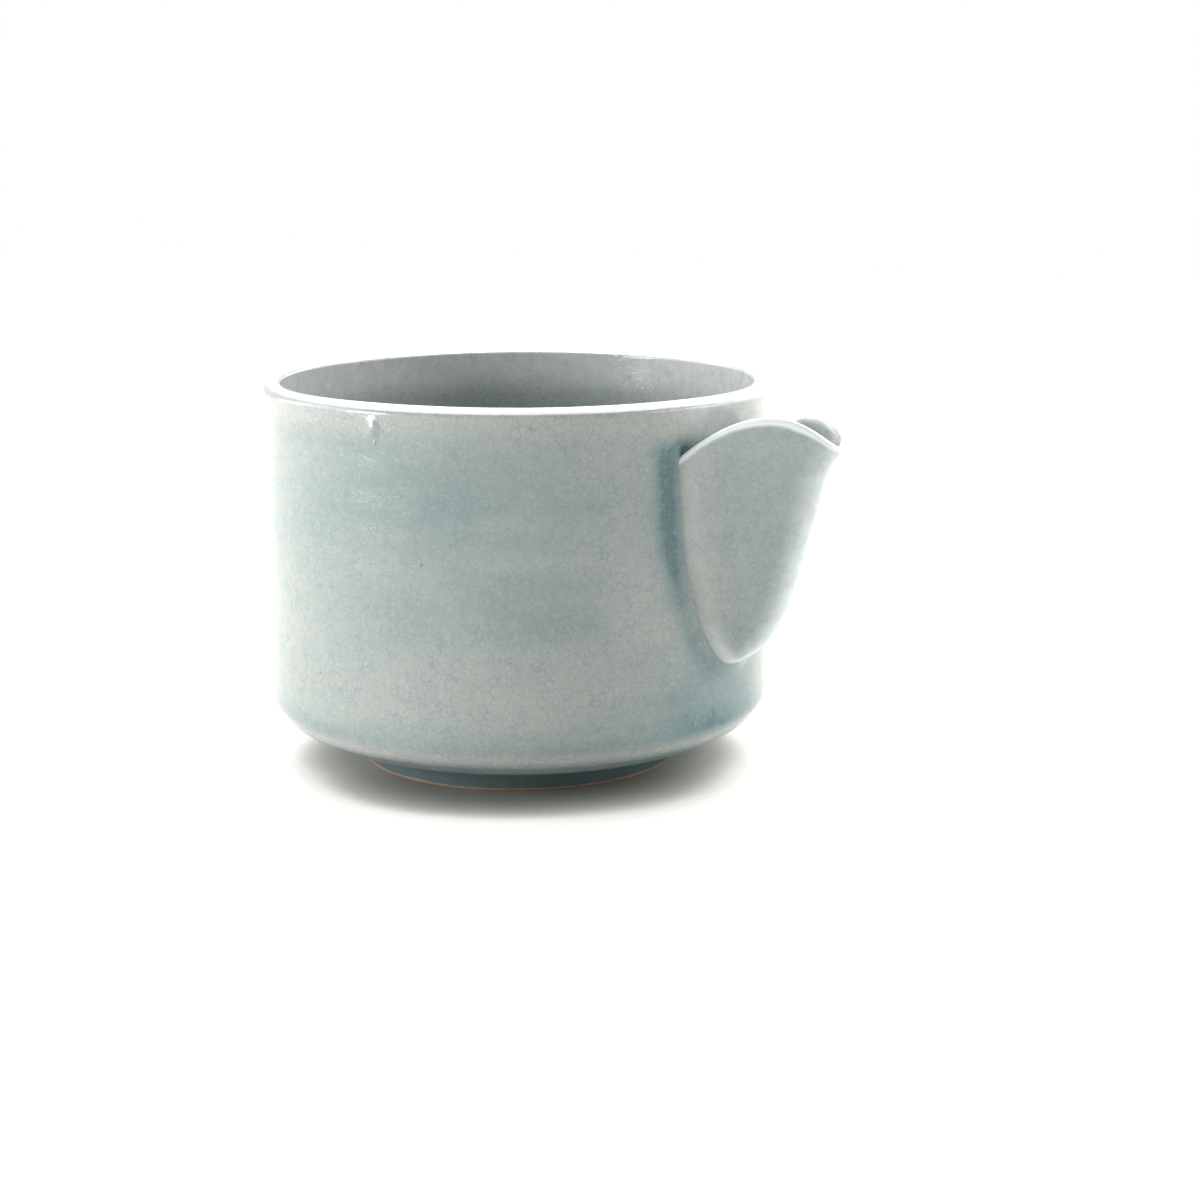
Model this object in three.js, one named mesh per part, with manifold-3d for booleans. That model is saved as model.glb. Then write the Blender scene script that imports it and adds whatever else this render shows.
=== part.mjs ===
// A wheel-thrown tea bowl with a pouring spout, in crackled celadon.
// The thrown body stands on a foot ring, and its rim runs on unbroken above the spout.
// The spout is a beak of clay luted to the outside of the wall over a pour hole,
// and clay worked into the joint as a fillet closes the seam round it.
// Millimetres, +Z up, spout towards +X, resting on z = 0.
import * as THREE from "three";
import { mergeVertices } from "three/addons/utils/BufferGeometryUtils.js";
import Module from "manifold-3d";

// Thrown body
const RIM_RADIUS = 50;
const BOWL_HEIGHT = 76;
const WALL_THICKNESS = 3.4;
const FLOOR_THICKNESS = 5.7;
const NECK_DEPTH = 0.6; // how far the wall draws in under the rim
const NECK_BELOW_RIM = 9;
const RIM_CREST_IN = 2.4; // the rim's highest line lies this far inside its outer edge
const RIM_FALL = 1.3; // and the rim slopes down this far to that outer edge
const RIM_EDGE_ROUND = 0.5;
const RIM_INNER_ROUND = 0.8;
const BASE_CORNER_RADIUS = 4.2;
const BASE_SLOPE = THREE.MathUtils.degToRad(22);
const INNER_CORNER_RADIUS = 11;

// Foot ring
const FOOT_HEIGHT = 3.9;
const FOOT_RADIUS = 31.2; // at the resting face
const FOOT_FLARE = 0.9; // the ring is this much wider where it meets the body
const FOOT_WIDTH = 4.2;
const FOOT_EDGE = 0.5; // bevel of its two lower edges

// Spout, a shell of clay folded along its keel
const SPOUT_HALF_WIDTH = 18;
const SPOUT_PINCH = 0.9; // how much narrower each side is again at the lip's root
const SPOUT_PINCH_FROM = 52;
const SPOUT_BOTTOM = 24.7;
const SPOUT_ROUND_FROM = 64.4; // below this height the sides draw in to the bottom
const SPOUT_ROUND_POWER = 2.5; // 2 draws them in as an ellipse does, more keeps them straighter
const SPOUT_THICKNESS = 2.6;
const SPOUT_STEP = 1.8; // its edge stands this far off the wall all round
const KEEL_OUT = 20.1; // of the keel's straight line past the rim, at the height of the lip's tip
const KEEL_LEAN = Math.tan(THREE.MathUtils.degToRad(16.5));
const KEEL_BULGE_FROM = 40; // below this height the keel curves in to the wall
const KEEL_ROUND_TOP = 3;
const KEEL_ROUND_BOTTOM = 11;
const BEAK_FLARE = 2; // how far the tip of the lip turns outwards past the keel's line
const BEAK_FLARE_HEIGHT = 3.8;
const LIP_ROOT_HEIGHT = 65.6; // where the lip leaves the wall
const LIP_CREST_HEIGHT = 74.1;
const LIP_CREST_OUT = 12.3; // past the rim
const LIP_TIP_HEIGHT = 67.6;
const LIP_TILT = THREE.MathUtils.degToRad(5); // the lip is cut lower on the +Y side

// Pour hole through the wall behind the spout
const POUR_HOLE_RADIUS = 10;
const POUR_HOLE_HEIGHT = 51;

// Fillet of clay worked into the seam
const SEAM_WIDTH = 4.4; // along the wall
const SEAM_RISE = 1.7; // up the spout's edge
const SEAM_FEATHER = 0.25; // thickness left at its thin edge
const SEAM_TAPER = 9; // height over which each end thins out, below where the spout's rounding starts

const JOINT_GAP = 0.3; // left between two pieces of clay luted together

const TURNS = 96;
const ARC_STEPS = 6;
const SECTION_STEPS = 12;
const WALL_LEVELS = 10;
const SPOUT_LEVELS = 28;
const SEAM_STEPS = 72;
const BEYOND = 12; // how far a cutting shape runs past what it cuts

const wasm = await Module();
wasm.setup();

function solidOf(geometry) {
  const bare = geometry.index ? geometry.toNonIndexed() : geometry.clone();
  bare.deleteAttribute("normal");
  bare.deleteAttribute("uv");
  const merged = mergeVertices(bare, 1e-4);
  return new wasm.Manifold(
    new wasm.Mesh({
      numProp: 3,
      vertProperties: merged.attributes.position.array,
      triVerts: new Uint32Array(merged.index.array),
    }),
  );
}

function geometryOf(solid) {
  const mesh = solid.getMesh();
  const position = new Float32Array(mesh.numVert * 3);
  for (let i = 0; i < mesh.numVert; i++) {
    const from = i * mesh.numProp;
    position.set(mesh.vertProperties.subarray(from, from + 3), i * 3);
  }
  const geometry = new THREE.BufferGeometry();
  geometry.setAttribute("position", new THREE.BufferAttribute(position, 3));
  geometry.setIndex(new THREE.BufferAttribute(new Uint32Array(mesh.triVerts), 1));
  geometry.computeVertexNormals();
  return geometry;
}

const { clamp, lerp } = THREE.MathUtils;
const flat = (x, y) => new THREE.Vector2(x, y);

// Points of an arc round (cr, cz), from one angle to another, ends included.
function arc(cr, cz, radius, from, to, steps = ARC_STEPS) {
  return Array.from({ length: steps + 1 }, (_, i) => {
    const angle = lerp(from, to, i / steps);
    return flat(cr + radius * Math.cos(angle), cz + radius * Math.sin(angle));
  });
}

// Turns a profile of (radius, height) points round the +Z axis.
function turned(profile) {
  return solidOf(new THREE.LatheGeometry(profile, TURNS).rotateX(Math.PI / 2));
}

// A closed solid through sections of equal point count, listed one after another.
function tubeOf(position, spans) {
  const size = position.length / 3 / (spans + 1);
  const last = spans * size;
  const faces = [];
  for (let i = 0; i < last; i += size) {
    for (let j = 0; j < size; j++) {
      const next = (j + 1) % size;
      faces.push(i + j, i + j + size, i + next);
      faces.push(i + next, i + j + size, i + next + size);
    }
  }
  for (let j = 1; j < size - 1; j++) {
    faces.push(0, j, j + 1);
    faces.push(last, last + j + 1, last + j);
  }
  const geometry = new THREE.BufferGeometry();
  geometry.setAttribute("position", new THREE.Float32BufferAttribute(position, 3));
  geometry.setIndex(faces);
  return solidOf(geometry);
}

const shoulderHeight = BOWL_HEIGHT - RIM_FALL;
const neckHeight = BOWL_HEIGHT - NECK_BELOW_RIM;
const landRadius = FOOT_RADIUS + FOOT_FLARE;
const floorHeight = FOOT_HEIGHT + FLOOR_THICKNESS;
const keelReach = RIM_RADIUS + KEEL_OUT;
const lipCrestReach = RIM_RADIUS + LIP_CREST_OUT;

// The round corner where the underside turns up into the wall: its centre, above the sloping underside.
const cornerRadius = RIM_RADIUS - BASE_CORNER_RADIUS;
const underRadius = cornerRadius + BASE_CORNER_RADIUS * Math.sin(BASE_SLOPE);
const underHeight = FOOT_HEIGHT + (underRadius - landRadius) * Math.tan(BASE_SLOPE);
const cornerHeight = underHeight + BASE_CORNER_RADIUS * Math.cos(BASE_SLOPE);

const wallHeights = Array.from({ length: WALL_LEVELS }, (_, i) =>
  lerp(cornerHeight + BASE_CORNER_RADIUS, shoulderHeight - RIM_EDGE_ROUND, i / (WALL_LEVELS - 1)),
);

// Outer radius of the wall at a height: drawn in most at the neck, and nothing at the rim or near the base.
function wallRadius(z) {
  const away = (neckHeight - z) / NECK_BELOW_RIM;
  const spread = away > 0 ? 2 : 0.55;
  return RIM_RADIUS - NECK_DEPTH * Math.exp(-((away / spread) ** 2));
}

function thrownBody() {
  const innerRadius = RIM_RADIUS - WALL_THICKNESS;
  const rimSlope = Math.atan2(RIM_FALL, RIM_CREST_IN);
  const outside = [
    flat(0, FOOT_HEIGHT),
    flat(landRadius, FOOT_HEIGHT),
    ...arc(cornerRadius, cornerHeight, BASE_CORNER_RADIUS, BASE_SLOPE - Math.PI / 2, 0),
    ...wallHeights.slice(0, -1).map((z) => flat(wallRadius(z), z)),
    ...arc(
      RIM_RADIUS - RIM_EDGE_ROUND,
      shoulderHeight - RIM_EDGE_ROUND,
      RIM_EDGE_ROUND,
      0,
      Math.PI / 2 - rimSlope,
      3,
    ),
    flat(RIM_RADIUS - RIM_CREST_IN, BOWL_HEIGHT),
  ];
  const inside = [
    ...arc(
      innerRadius + RIM_INNER_ROUND,
      BOWL_HEIGHT - RIM_INNER_ROUND,
      RIM_INNER_ROUND,
      Math.PI / 2,
      Math.PI,
      4,
    ),
    ...wallHeights
      .slice(1, -1)
      .reverse()
      .map((z) => flat(wallRadius(z) - WALL_THICKNESS, z)),
    ...arc(
      innerRadius - INNER_CORNER_RADIUS,
      floorHeight + INNER_CORNER_RADIUS,
      INNER_CORNER_RADIUS,
      0,
      -Math.PI / 2,
    ),
    flat(0, floorHeight),
  ];
  const hole = new THREE.CylinderGeometry(POUR_HOLE_RADIUS, POUR_HOLE_RADIUS, RIM_RADIUS, 48)
    .rotateZ(Math.PI / 2)
    .translate(RIM_RADIUS, 0, POUR_HOLE_HEIGHT);
  return turned([...outside, ...inside]).subtract(solidOf(hole));
}

function footRing() {
  const inner = FOOT_RADIUS - FOOT_WIDTH;
  return turned([
    flat(inner + FOOT_EDGE, 0),
    flat(FOOT_RADIUS - FOOT_EDGE, 0),
    flat(FOOT_RADIUS, FOOT_EDGE),
    flat(landRadius, FOOT_HEIGHT),
    flat(inner - FOOT_FLARE, FOOT_HEIGHT),
    flat(inner, FOOT_EDGE),
    flat(inner + FOOT_EDGE, 0),
  ]);
}

// Share of its full size that something keeps at a height, easing to 0 at the bottom as a rounded corner does.
function easedIn(z, from, bottom, power = 2) {
  const below = clamp((from - z) / (from - bottom), 0, 1);
  return (1 - below ** power) ** (1 / power);
}

// Half width of the spout at a height, less the inset of a shape that lies that far inside its outer face.
function spoutHalf(z, inset = 0) {
  const pinch = SPOUT_PINCH * Math.max((z - SPOUT_PINCH_FROM) / (LIP_ROOT_HEIGHT - SPOUT_PINCH_FROM), 0) ** 2;
  const full = SPOUT_HALF_WIDTH - Math.min(pinch, SPOUT_HALF_WIDTH / 4) - inset;
  return full * easedIn(z, SPOUT_ROUND_FROM, SPOUT_BOTTOM + inset, SPOUT_ROUND_POWER);
}

// Half of the spout's level section, from inside the wall round to the keel, as (x, y) points.
function halfSection(z, inset) {
  const bottom = SPOUT_BOTTOM + inset;
  const half = spoutHalf(z, inset);
  const edgeX = Math.sqrt(RIM_RADIUS ** 2 - half ** 2) + SPOUT_STEP - inset;
  const root = RIM_RADIUS + SPOUT_STEP - inset;
  const beak = BEAK_FLARE * clamp(1 - (LIP_TIP_HEIGHT - z) / BEAK_FLARE_HEIGHT, 0, 1.4) ** 2;
  const line = keelReach - (LIP_TIP_HEIGHT - z) * KEEL_LEAN - inset;
  const keelX = root + (line - root) * easedIn(z, KEEL_BULGE_FROM, bottom) + beak;
  const share = clamp((z - bottom) / (LIP_TIP_HEIGHT - bottom), 0, 1);
  const round = lerp(KEEL_ROUND_BOTTOM, KEEL_ROUND_TOP, share);
  const spread = Math.hypot(half, round) - round;
  const points = [flat(RIM_RADIUS - WALL_THICKNESS - BEYOND, half)];
  for (let i = SECTION_STEPS; i >= 0; i--) {
    const y = (half * i) / SECTION_STEPS;
    const fall = spread > 0 ? (Math.hypot(y, round) - round) / spread : 0;
    points.push(flat(keelX - (keelX - edgeX) * fall, y));
  }
  return points;
}

// A closed solid through the spout's level sections, from its bottom to above the lip.
function spoutBlank(inset) {
  const bottom = SPOUT_BOTTOM + inset;
  const top = LIP_CREST_HEIGHT + BEYOND;
  const position = [];
  for (let i = 0; i <= SPOUT_LEVELS; i++) {
    const share = (i + 0.1) / (SPOUT_LEVELS + 0.1);
    const z = lerp(bottom, top, 1 - Math.cos((share * Math.PI) / 2));
    const half = halfSection(z, inset);
    half.forEach((p) => position.push(p.x, p.y, z));
    half
      .slice(0, -1)
      .reverse()
      .forEach((p) => position.push(p.x, -p.y, z));
  }
  return tubeOf(position, SPOUT_LEVELS);
}

// Height of the lip's cut at a distance out from the bowl's axis: up from the wall, over its crest, down to the tip.
function lipHeight(x) {
  const root = Math.sqrt(RIM_RADIUS ** 2 - SPOUT_HALF_WIDTH ** 2);
  const rising = x <= lipCrestReach;
  const end = rising ? root : keelReach + BEAK_FLARE;
  const drop = LIP_CREST_HEIGHT - (rising ? LIP_ROOT_HEIGHT : LIP_TIP_HEIGHT);
  const share = (x - lipCrestReach) / (end - lipCrestReach);
  return LIP_CREST_HEIGHT - drop * Math.min(share, 1.4) ** 2;
}

// Everything above the lip's cut, across the whole spout.
function aboveLip() {
  const from = RIM_RADIUS - WALL_THICKNESS - BEYOND;
  const to = keelReach + BEAK_FLARE + BEYOND;
  const top = BOWL_HEIGHT + 2 * BEYOND;
  const steps = 40;
  const shape = new THREE.Shape();
  shape.moveTo(from, top);
  for (let i = 0; i <= steps; i++) {
    const x = lerp(from, to, i / steps);
    shape.lineTo(x, lipHeight(x));
  }
  shape.lineTo(to, top);
  const depth = 2 * (SPOUT_HALF_WIDTH + BEYOND);
  const geometry = new THREE.ExtrudeGeometry(shape, { depth, bevelEnabled: false })
    .translate(0, 0, -depth / 2)
    .rotateX(Math.PI / 2)
    .translate(0, 0, -LIP_CREST_HEIGHT)
    .rotateX(-LIP_TILT)
    .translate(0, 0, LIP_CREST_HEIGHT);
  return solidOf(geometry);
}

// The space that the bowl's wall takes up, with the gap, which clay applied to it keeps out of.
function wallSpace() {
  const lowest = wallHeights[0];
  const top = BOWL_HEIGHT + 2 * BEYOND;
  return turned([
    flat(0, 0),
    flat(wallRadius(lowest) + JOINT_GAP, 0),
    ...wallHeights.map((z) => flat(wallRadius(z) + JOINT_GAP, z)),
    flat(wallRadius(top) + JOINT_GAP, top),
    flat(0, top),
  ]);
}

function spout() {
  return spoutBlank(0)
    .subtract(spoutBlank(SPOUT_THICKNESS))
    .subtract(aboveLip())
    .subtract(wallSpace());
}

// A point of the spout's outline on the unrolled wall, (along the wall, height), for a share that runs
// from 0 at the bottom to 1 where the rounding starts on the +Y side, and to -1 on the -Y side.
function spoutOutline(share) {
  const down = Math.cos((clamp(share, -1, 1) * Math.PI) / 2) ** (2 / SPOUT_ROUND_POWER);
  const z = lerp(SPOUT_ROUND_FROM, SPOUT_BOTTOM, down);
  return flat(Math.sign(share) * RIM_RADIUS * Math.asin(spoutHalf(z) / RIM_RADIUS), z);
}

// Section of the fillet as (aside from the spout's edge, out from the wall) points, flat against the wall.
function filletSection(size) {
  const inner = -SPOUT_THICKNESS / 2;
  const rise = SEAM_RISE * size;
  const width = SEAM_WIDTH * size;
  const hollow = Array.from({ length: ARC_STEPS + 1 }, (_, i) => {
    const aside = 1 - i / ARC_STEPS;
    return flat(width * aside, lerp(rise, SEAM_FEATHER, 1 - (1 - aside) ** 2));
  });
  return [flat(inner, 0), flat(width, 0), ...hollow, flat(inner, rise)];
}

function seamFillet() {
  const nearby = 0.01;
  const position = [];
  for (let i = 0; i <= SEAM_STEPS; i++) {
    const share = lerp(-1, 1, i / SEAM_STEPS);
    const here = spoutOutline(share);
    const way = spoutOutline(share + nearby).sub(spoutOutline(share - nearby)).normalize();
    const tapered = clamp((SPOUT_ROUND_FROM - here.y) / SEAM_TAPER, 0, 1);
    for (const p of filletSection(lerp(0.4, 1, Math.sin((Math.PI / 2) * tapered)))) {
      const along = here.x + way.y * p.x;
      const z = here.y - way.x * p.x;
      const r = wallRadius(z) + JOINT_GAP + p.y;
      position.push(r * Math.cos(along / RIM_RADIUS), r * Math.sin(along / RIM_RADIUS), z);
    }
  }
  return tubeOf(position, SEAM_STEPS)
    .subtract(wallSpace())
    .subtract(spoutBlank(-JOINT_GAP));
}

const glaze = new THREE.MeshStandardMaterial({ color: 0xa9b9bb, roughness: 0.18, metalness: 0 });
const pooledGlaze = new THREE.MeshStandardMaterial({ color: 0x7f9ca0, roughness: 0.15, metalness: 0 });
const bareClay = new THREE.MeshStandardMaterial({ color: 0xb09a84, roughness: 0.85, metalness: 0 });

function piece(name, solid, material) {
  const mesh = new THREE.Mesh(geometryOf(solid), material);
  mesh.name = name;
  return mesh;
}

const bowl = new THREE.Group();
bowl.add(piece("bowl_body", thrownBody(), glaze));
bowl.add(piece("foot_ring", footRing(), bareClay));
bowl.add(piece("spout", spout(), glaze));
bowl.add(piece("spout_seam", seamFillet(), pooledGlaze));

// The frame's origin lies on the table under the middle of the whole footprint.
const box = new THREE.Box3().setFromObject(bowl);
bowl.position.x = -(box.min.x + box.max.x) / 2;

const part = new THREE.Group();
part.add(bowl);
export default part;
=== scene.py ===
"""Dresses the spouted bowl: a thrown stoneware bowl with an applied spout, in crackled celadon.

The thrown body, its foot ring, the spout and the fillet of clay in the spout's seam are modelled
as four pieces. They share one celadon glaze, which pools in the seam and above the base and
breaks pale on the rim and the lip. The glaze's colour also holds painted shade, in the seam's
pool and under the base, and painted light, on the wall behind the lip, along the spout's keel
and on its rolled foot; the pale line on the base's turn is partly a painted reflection, and the
inside grows paler towards the rim, partly painted light. Lengths are in metres, but for the
classes that say they are in millimetres.
"""

import logging
import math
from dataclasses import dataclass
from enum import Enum

import bpy
import numpy as np
from mathutils import Matrix, Vector


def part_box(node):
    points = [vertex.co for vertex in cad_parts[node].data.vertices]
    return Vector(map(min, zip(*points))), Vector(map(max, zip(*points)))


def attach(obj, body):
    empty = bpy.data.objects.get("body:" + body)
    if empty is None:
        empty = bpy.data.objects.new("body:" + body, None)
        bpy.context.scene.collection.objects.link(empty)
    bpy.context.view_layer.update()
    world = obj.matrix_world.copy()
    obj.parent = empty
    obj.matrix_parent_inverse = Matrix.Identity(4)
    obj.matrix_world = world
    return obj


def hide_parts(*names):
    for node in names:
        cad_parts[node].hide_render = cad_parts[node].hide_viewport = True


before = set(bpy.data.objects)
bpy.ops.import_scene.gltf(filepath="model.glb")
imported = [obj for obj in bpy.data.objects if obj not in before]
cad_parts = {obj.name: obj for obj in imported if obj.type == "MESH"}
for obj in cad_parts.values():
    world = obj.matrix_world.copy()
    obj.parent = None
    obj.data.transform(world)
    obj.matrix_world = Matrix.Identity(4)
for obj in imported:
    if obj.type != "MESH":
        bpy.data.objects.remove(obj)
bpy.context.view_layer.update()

MM = 0.001
LOG = logging.getLogger("spouted_bowl")


def seen(red: int, green: int, blue: int) -> tuple[float, float, float, float]:
    """Turns a colour as a screen shows it into the linear colour a shader takes.

    Args:
        red: Red, 0 to 255.
        green: Green, 0 to 255.
        blue: Blue, 0 to 255.

    Returns:
        The linear colour with full opacity.
    """
    parts = [c / 255 for c in (red, green, blue)]
    linear = [c / 12.92 if c <= 0.04045 else ((c + 0.055) / 1.055) ** 2.4 for c in parts]
    return (linear[0], linear[1], linear[2], 1.0)


def eased(value: np.ndarray, start: float, end: float) -> np.ndarray:
    """Goes smoothly from 0 at one value to 1 at another, which may be the lower of the two.

    Args:
        value: Numbers to read.
        start: Where the result leaves 0.
        end: Where the result reaches 1.

    Returns:
        The eased shares, between 0 and 1.
    """
    share = np.clip((value - start) / (end - start), 0, 1)
    return share * share * (3 - 2 * share)


@dataclass(frozen=True)
class Fade:
    """An amount that comes in smoothly from one place to another, both in millimetres."""

    start: float
    end: float
    amount: float = 1.0

    def at(self, value: np.ndarray) -> np.ndarray:
        """Gives the amount at places in metres."""
        return self.amount * eased(value, self.start * MM, self.end * MM)


@dataclass(frozen=True)
class Swell:
    """An amount gathered round one place, with its spread in millimetres."""

    middle: float
    spread: float
    amount: float = 1.0

    def at(self, value: np.ndarray) -> np.ndarray:
        """Gives the amount at places in metres."""
        return self.amount * np.exp(-(((value / MM - self.middle) / self.spread) ** 2))


class Stain(Enum):
    """Numbers written on the vertices for the glaze to read: its depth, which also holds painted
    shade, and where it breaks, which also holds painted light.
    """

    DEPTH = "glaze_depth_and_shade"
    BREAK = "glaze_break_and_light"


class Clay:
    """Hands that start, shape and finish a mesh."""

    @staticmethod
    def drop_selection() -> None:
        """Deselects every object."""
        bpy.ops.object.select_all(action="DESELECT")

    @staticmethod
    def take(piece: bpy.types.Object) -> None:
        """Makes a piece the only selected and the active object.

        Args:
            piece: The piece.
        """
        Clay.drop_selection()
        piece.select_set(True)
        bpy.context.view_layer.objects.active = piece

    @staticmethod
    def mode(name: str) -> None:
        """Enters object or edit mode."""
        bpy.ops.object.mode_set(mode=name)

    @staticmethod
    def places(piece: bpy.types.Object) -> np.ndarray:
        """Reads the vertex places of a piece.

        Args:
            piece: The piece.

        Returns:
            Rows of x, y, z in metres.
        """
        flat = np.empty(len(piece.data.vertices) * 3)
        piece.data.vertices.foreach_get("co", flat)
        return flat.reshape(-1, 3)

    @staticmethod
    def put(piece: bpy.types.Object, places: np.ndarray) -> None:
        """Moves the vertices of a piece to new places."""
        piece.data.vertices.foreach_set("co", places.reshape(-1))
        piece.data.update()

    @staticmethod
    def named(name: str) -> bpy.types.Object:
        """Names the object just made, and its mesh.

        Args:
            name: The new name.

        Returns:
            The object.
        """
        piece = bpy.context.object
        piece.name = piece.data.name = name
        return piece

    @staticmethod
    def round_axis(piece: bpy.types.Object, axis_x: float) -> tuple[np.ndarray, ...]:
        """Reads x, y and z of each vertex from the turning axis, then its radius and angle."""
        x, y, z = (Clay.places(piece) - (axis_x, 0, 0)).T
        return x, y, z, np.hypot(x, y), np.arctan2(y, x)

    @staticmethod
    def pick_edges(piece: bpy.types.Object, chosen: np.ndarray) -> None:
        """Selects chosen edges, in object mode.

        Args:
            piece: The piece.
            chosen: Mask of its edges.
        """
        mesh = piece.data
        ends = Clay.edge_ends(piece)
        points = np.zeros(len(mesh.vertices), bool)
        points[ends[chosen].reshape(-1)] = True
        mesh.polygons.foreach_set("select", np.zeros(len(mesh.polygons), bool))
        mesh.vertices.foreach_set("select", points)
        mesh.edges.foreach_set("select", chosen.astype(bool))
        mesh.update()

    @staticmethod
    def edge_ends(piece: bpy.types.Object) -> np.ndarray:
        """Reads the two vertex numbers of every edge.

        Args:
            piece: The piece.

        Returns:
            One row of two vertex numbers for each edge.
        """
        flat = np.empty(len(piece.data.edges) * 2, dtype=np.int64)
        piece.data.edges.foreach_get("vertices", flat)
        return flat.reshape(-1, 2)

    @staticmethod
    def open_edges(piece: bpy.types.Object) -> np.ndarray:
        """Finds the edges with a face on one side only.

        Args:
            piece: The piece.

        Returns:
            Mask of its edges.
        """
        mesh = piece.data
        loops = np.empty(len(mesh.loops), dtype=np.int64)
        mesh.loops.foreach_get("edge_index", loops)
        return np.bincount(loops, minlength=len(mesh.edges)) == 1

    @staticmethod
    def close_and_turn_out(piece: bpy.types.Object) -> None:
        """Merges doubled points and turns every face outwards.

        Args:
            piece: The piece.
        """
        Clay.take(piece)
        Clay.mode("EDIT")
        bpy.ops.mesh.select_all(action="SELECT")
        bpy.ops.mesh.remove_doubles(threshold=2e-7)
        bpy.ops.mesh.normals_make_consistent(inside=False)
        Clay.mode("OBJECT")

    @staticmethod
    def smooth(piece: bpy.types.Object, angle: float = 50.0) -> None:
        """Shades a piece smooth, except over edges sharper than an angle in degrees."""
        Clay.take(piece)
        bpy.ops.object.shade_smooth_by_angle(angle=math.radians(angle))

    @staticmethod
    def stain(piece: bpy.types.Object, which: Stain, values: np.ndarray) -> None:
        """Writes one number to every vertex of a piece, for its finish to read."""
        layer = piece.data.attributes.new(which.value, "FLOAT", "POINT")
        layer.data.foreach_set("value", np.asarray(values, dtype=np.float32))

    @staticmethod
    def thrown(
        name: str, profile: list[tuple[float, float]], axis_x: float, turns: int
    ) -> bpy.types.Object:
        """Draws a profile point by point and spins it round the turning axis.

        Args:
            name: Name of the new piece.
            profile: Radius and height of each point in order.
            axis_x: Where the turning axis crosses the X axis.
            turns: Steps in a full turn.

        Returns:
            The closed, turned piece.
        """
        Clay.drop_selection()
        bpy.ops.mesh.primitive_plane_add(size=0.01, location=(0, 0, 0))
        piece = Clay.named(name)
        Clay.mode("EDIT")
        bpy.ops.mesh.select_all(action="SELECT")
        bpy.ops.mesh.merge(type="CENTER")
        here = Vector((axis_x + profile[0][0], 0, profile[0][1]))
        bpy.ops.transform.translate(value=here)
        for radius, height in profile[1:]:
            there = Vector((axis_x + radius, 0, height))
            bpy.ops.mesh.extrude_region_move(TRANSFORM_OT_translate={"value": there - here})
            here = there
        bpy.ops.mesh.select_all(action="SELECT")
        bpy.ops.mesh.spin(
            steps=turns, angle=math.tau, center=(axis_x, 0, 0), axis=(0, 0, 1), dupli=False
        )
        Clay.mode("OBJECT")
        Clay.close_and_turn_out(piece)
        return piece

    @staticmethod
    def with_round_corners(
        corners: list[tuple[float, float, float]], arc_steps: int = 7, step: float = 0.9 * MM
    ) -> list[tuple[float, float]]:
        """Rounds the corners of a profile and adds points along its straight stretches.

        Args:
            corners: Radius, height and rounding of each corner.
            arc_steps: Steps in each rounding.
            step: Longest distance between two points of a straight stretch.

        Returns:
            Radius and height of every point in order.
        """
        drawn: list[tuple[float, float]] = []
        for i, (x, z, rounding) in enumerate(corners):
            here = Vector((x, z))
            if rounding <= 0 or i in (0, len(corners) - 1):
                drawn.append((x, z))
                continue
            back = (Vector(corners[i - 1][:2]) - here).normalized()
            ahead = (Vector(corners[i + 1][:2]) - here).normalized()
            half = back.angle(ahead) / 2
            centre = here + (back + ahead).normalized() * (rounding / math.sin(half))
            first = here + back * (rounding / math.tan(half)) - centre
            last = here + ahead * (rounding / math.tan(half)) - centre
            turn = first.angle_signed(last)
            for k in range(arc_steps + 1):
                spoke = first.copy()
                spoke.rotate(Matrix.Rotation(-turn * k / arc_steps, 2))
                drawn.append(tuple(centre + spoke))
        filled: list[tuple[float, float]] = [drawn[0]]
        for (x0, z0), (x1, z1) in zip(drawn, drawn[1:]):
            pieces = max(1, math.ceil(math.hypot(x1 - x0, z1 - z0) / step))
            for k in range(1, pieces + 1):
                share = k / pieces
                filled.append((x0 + (x1 - x0) * share, z0 + (z1 - z0) * share))
        return filled


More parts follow.
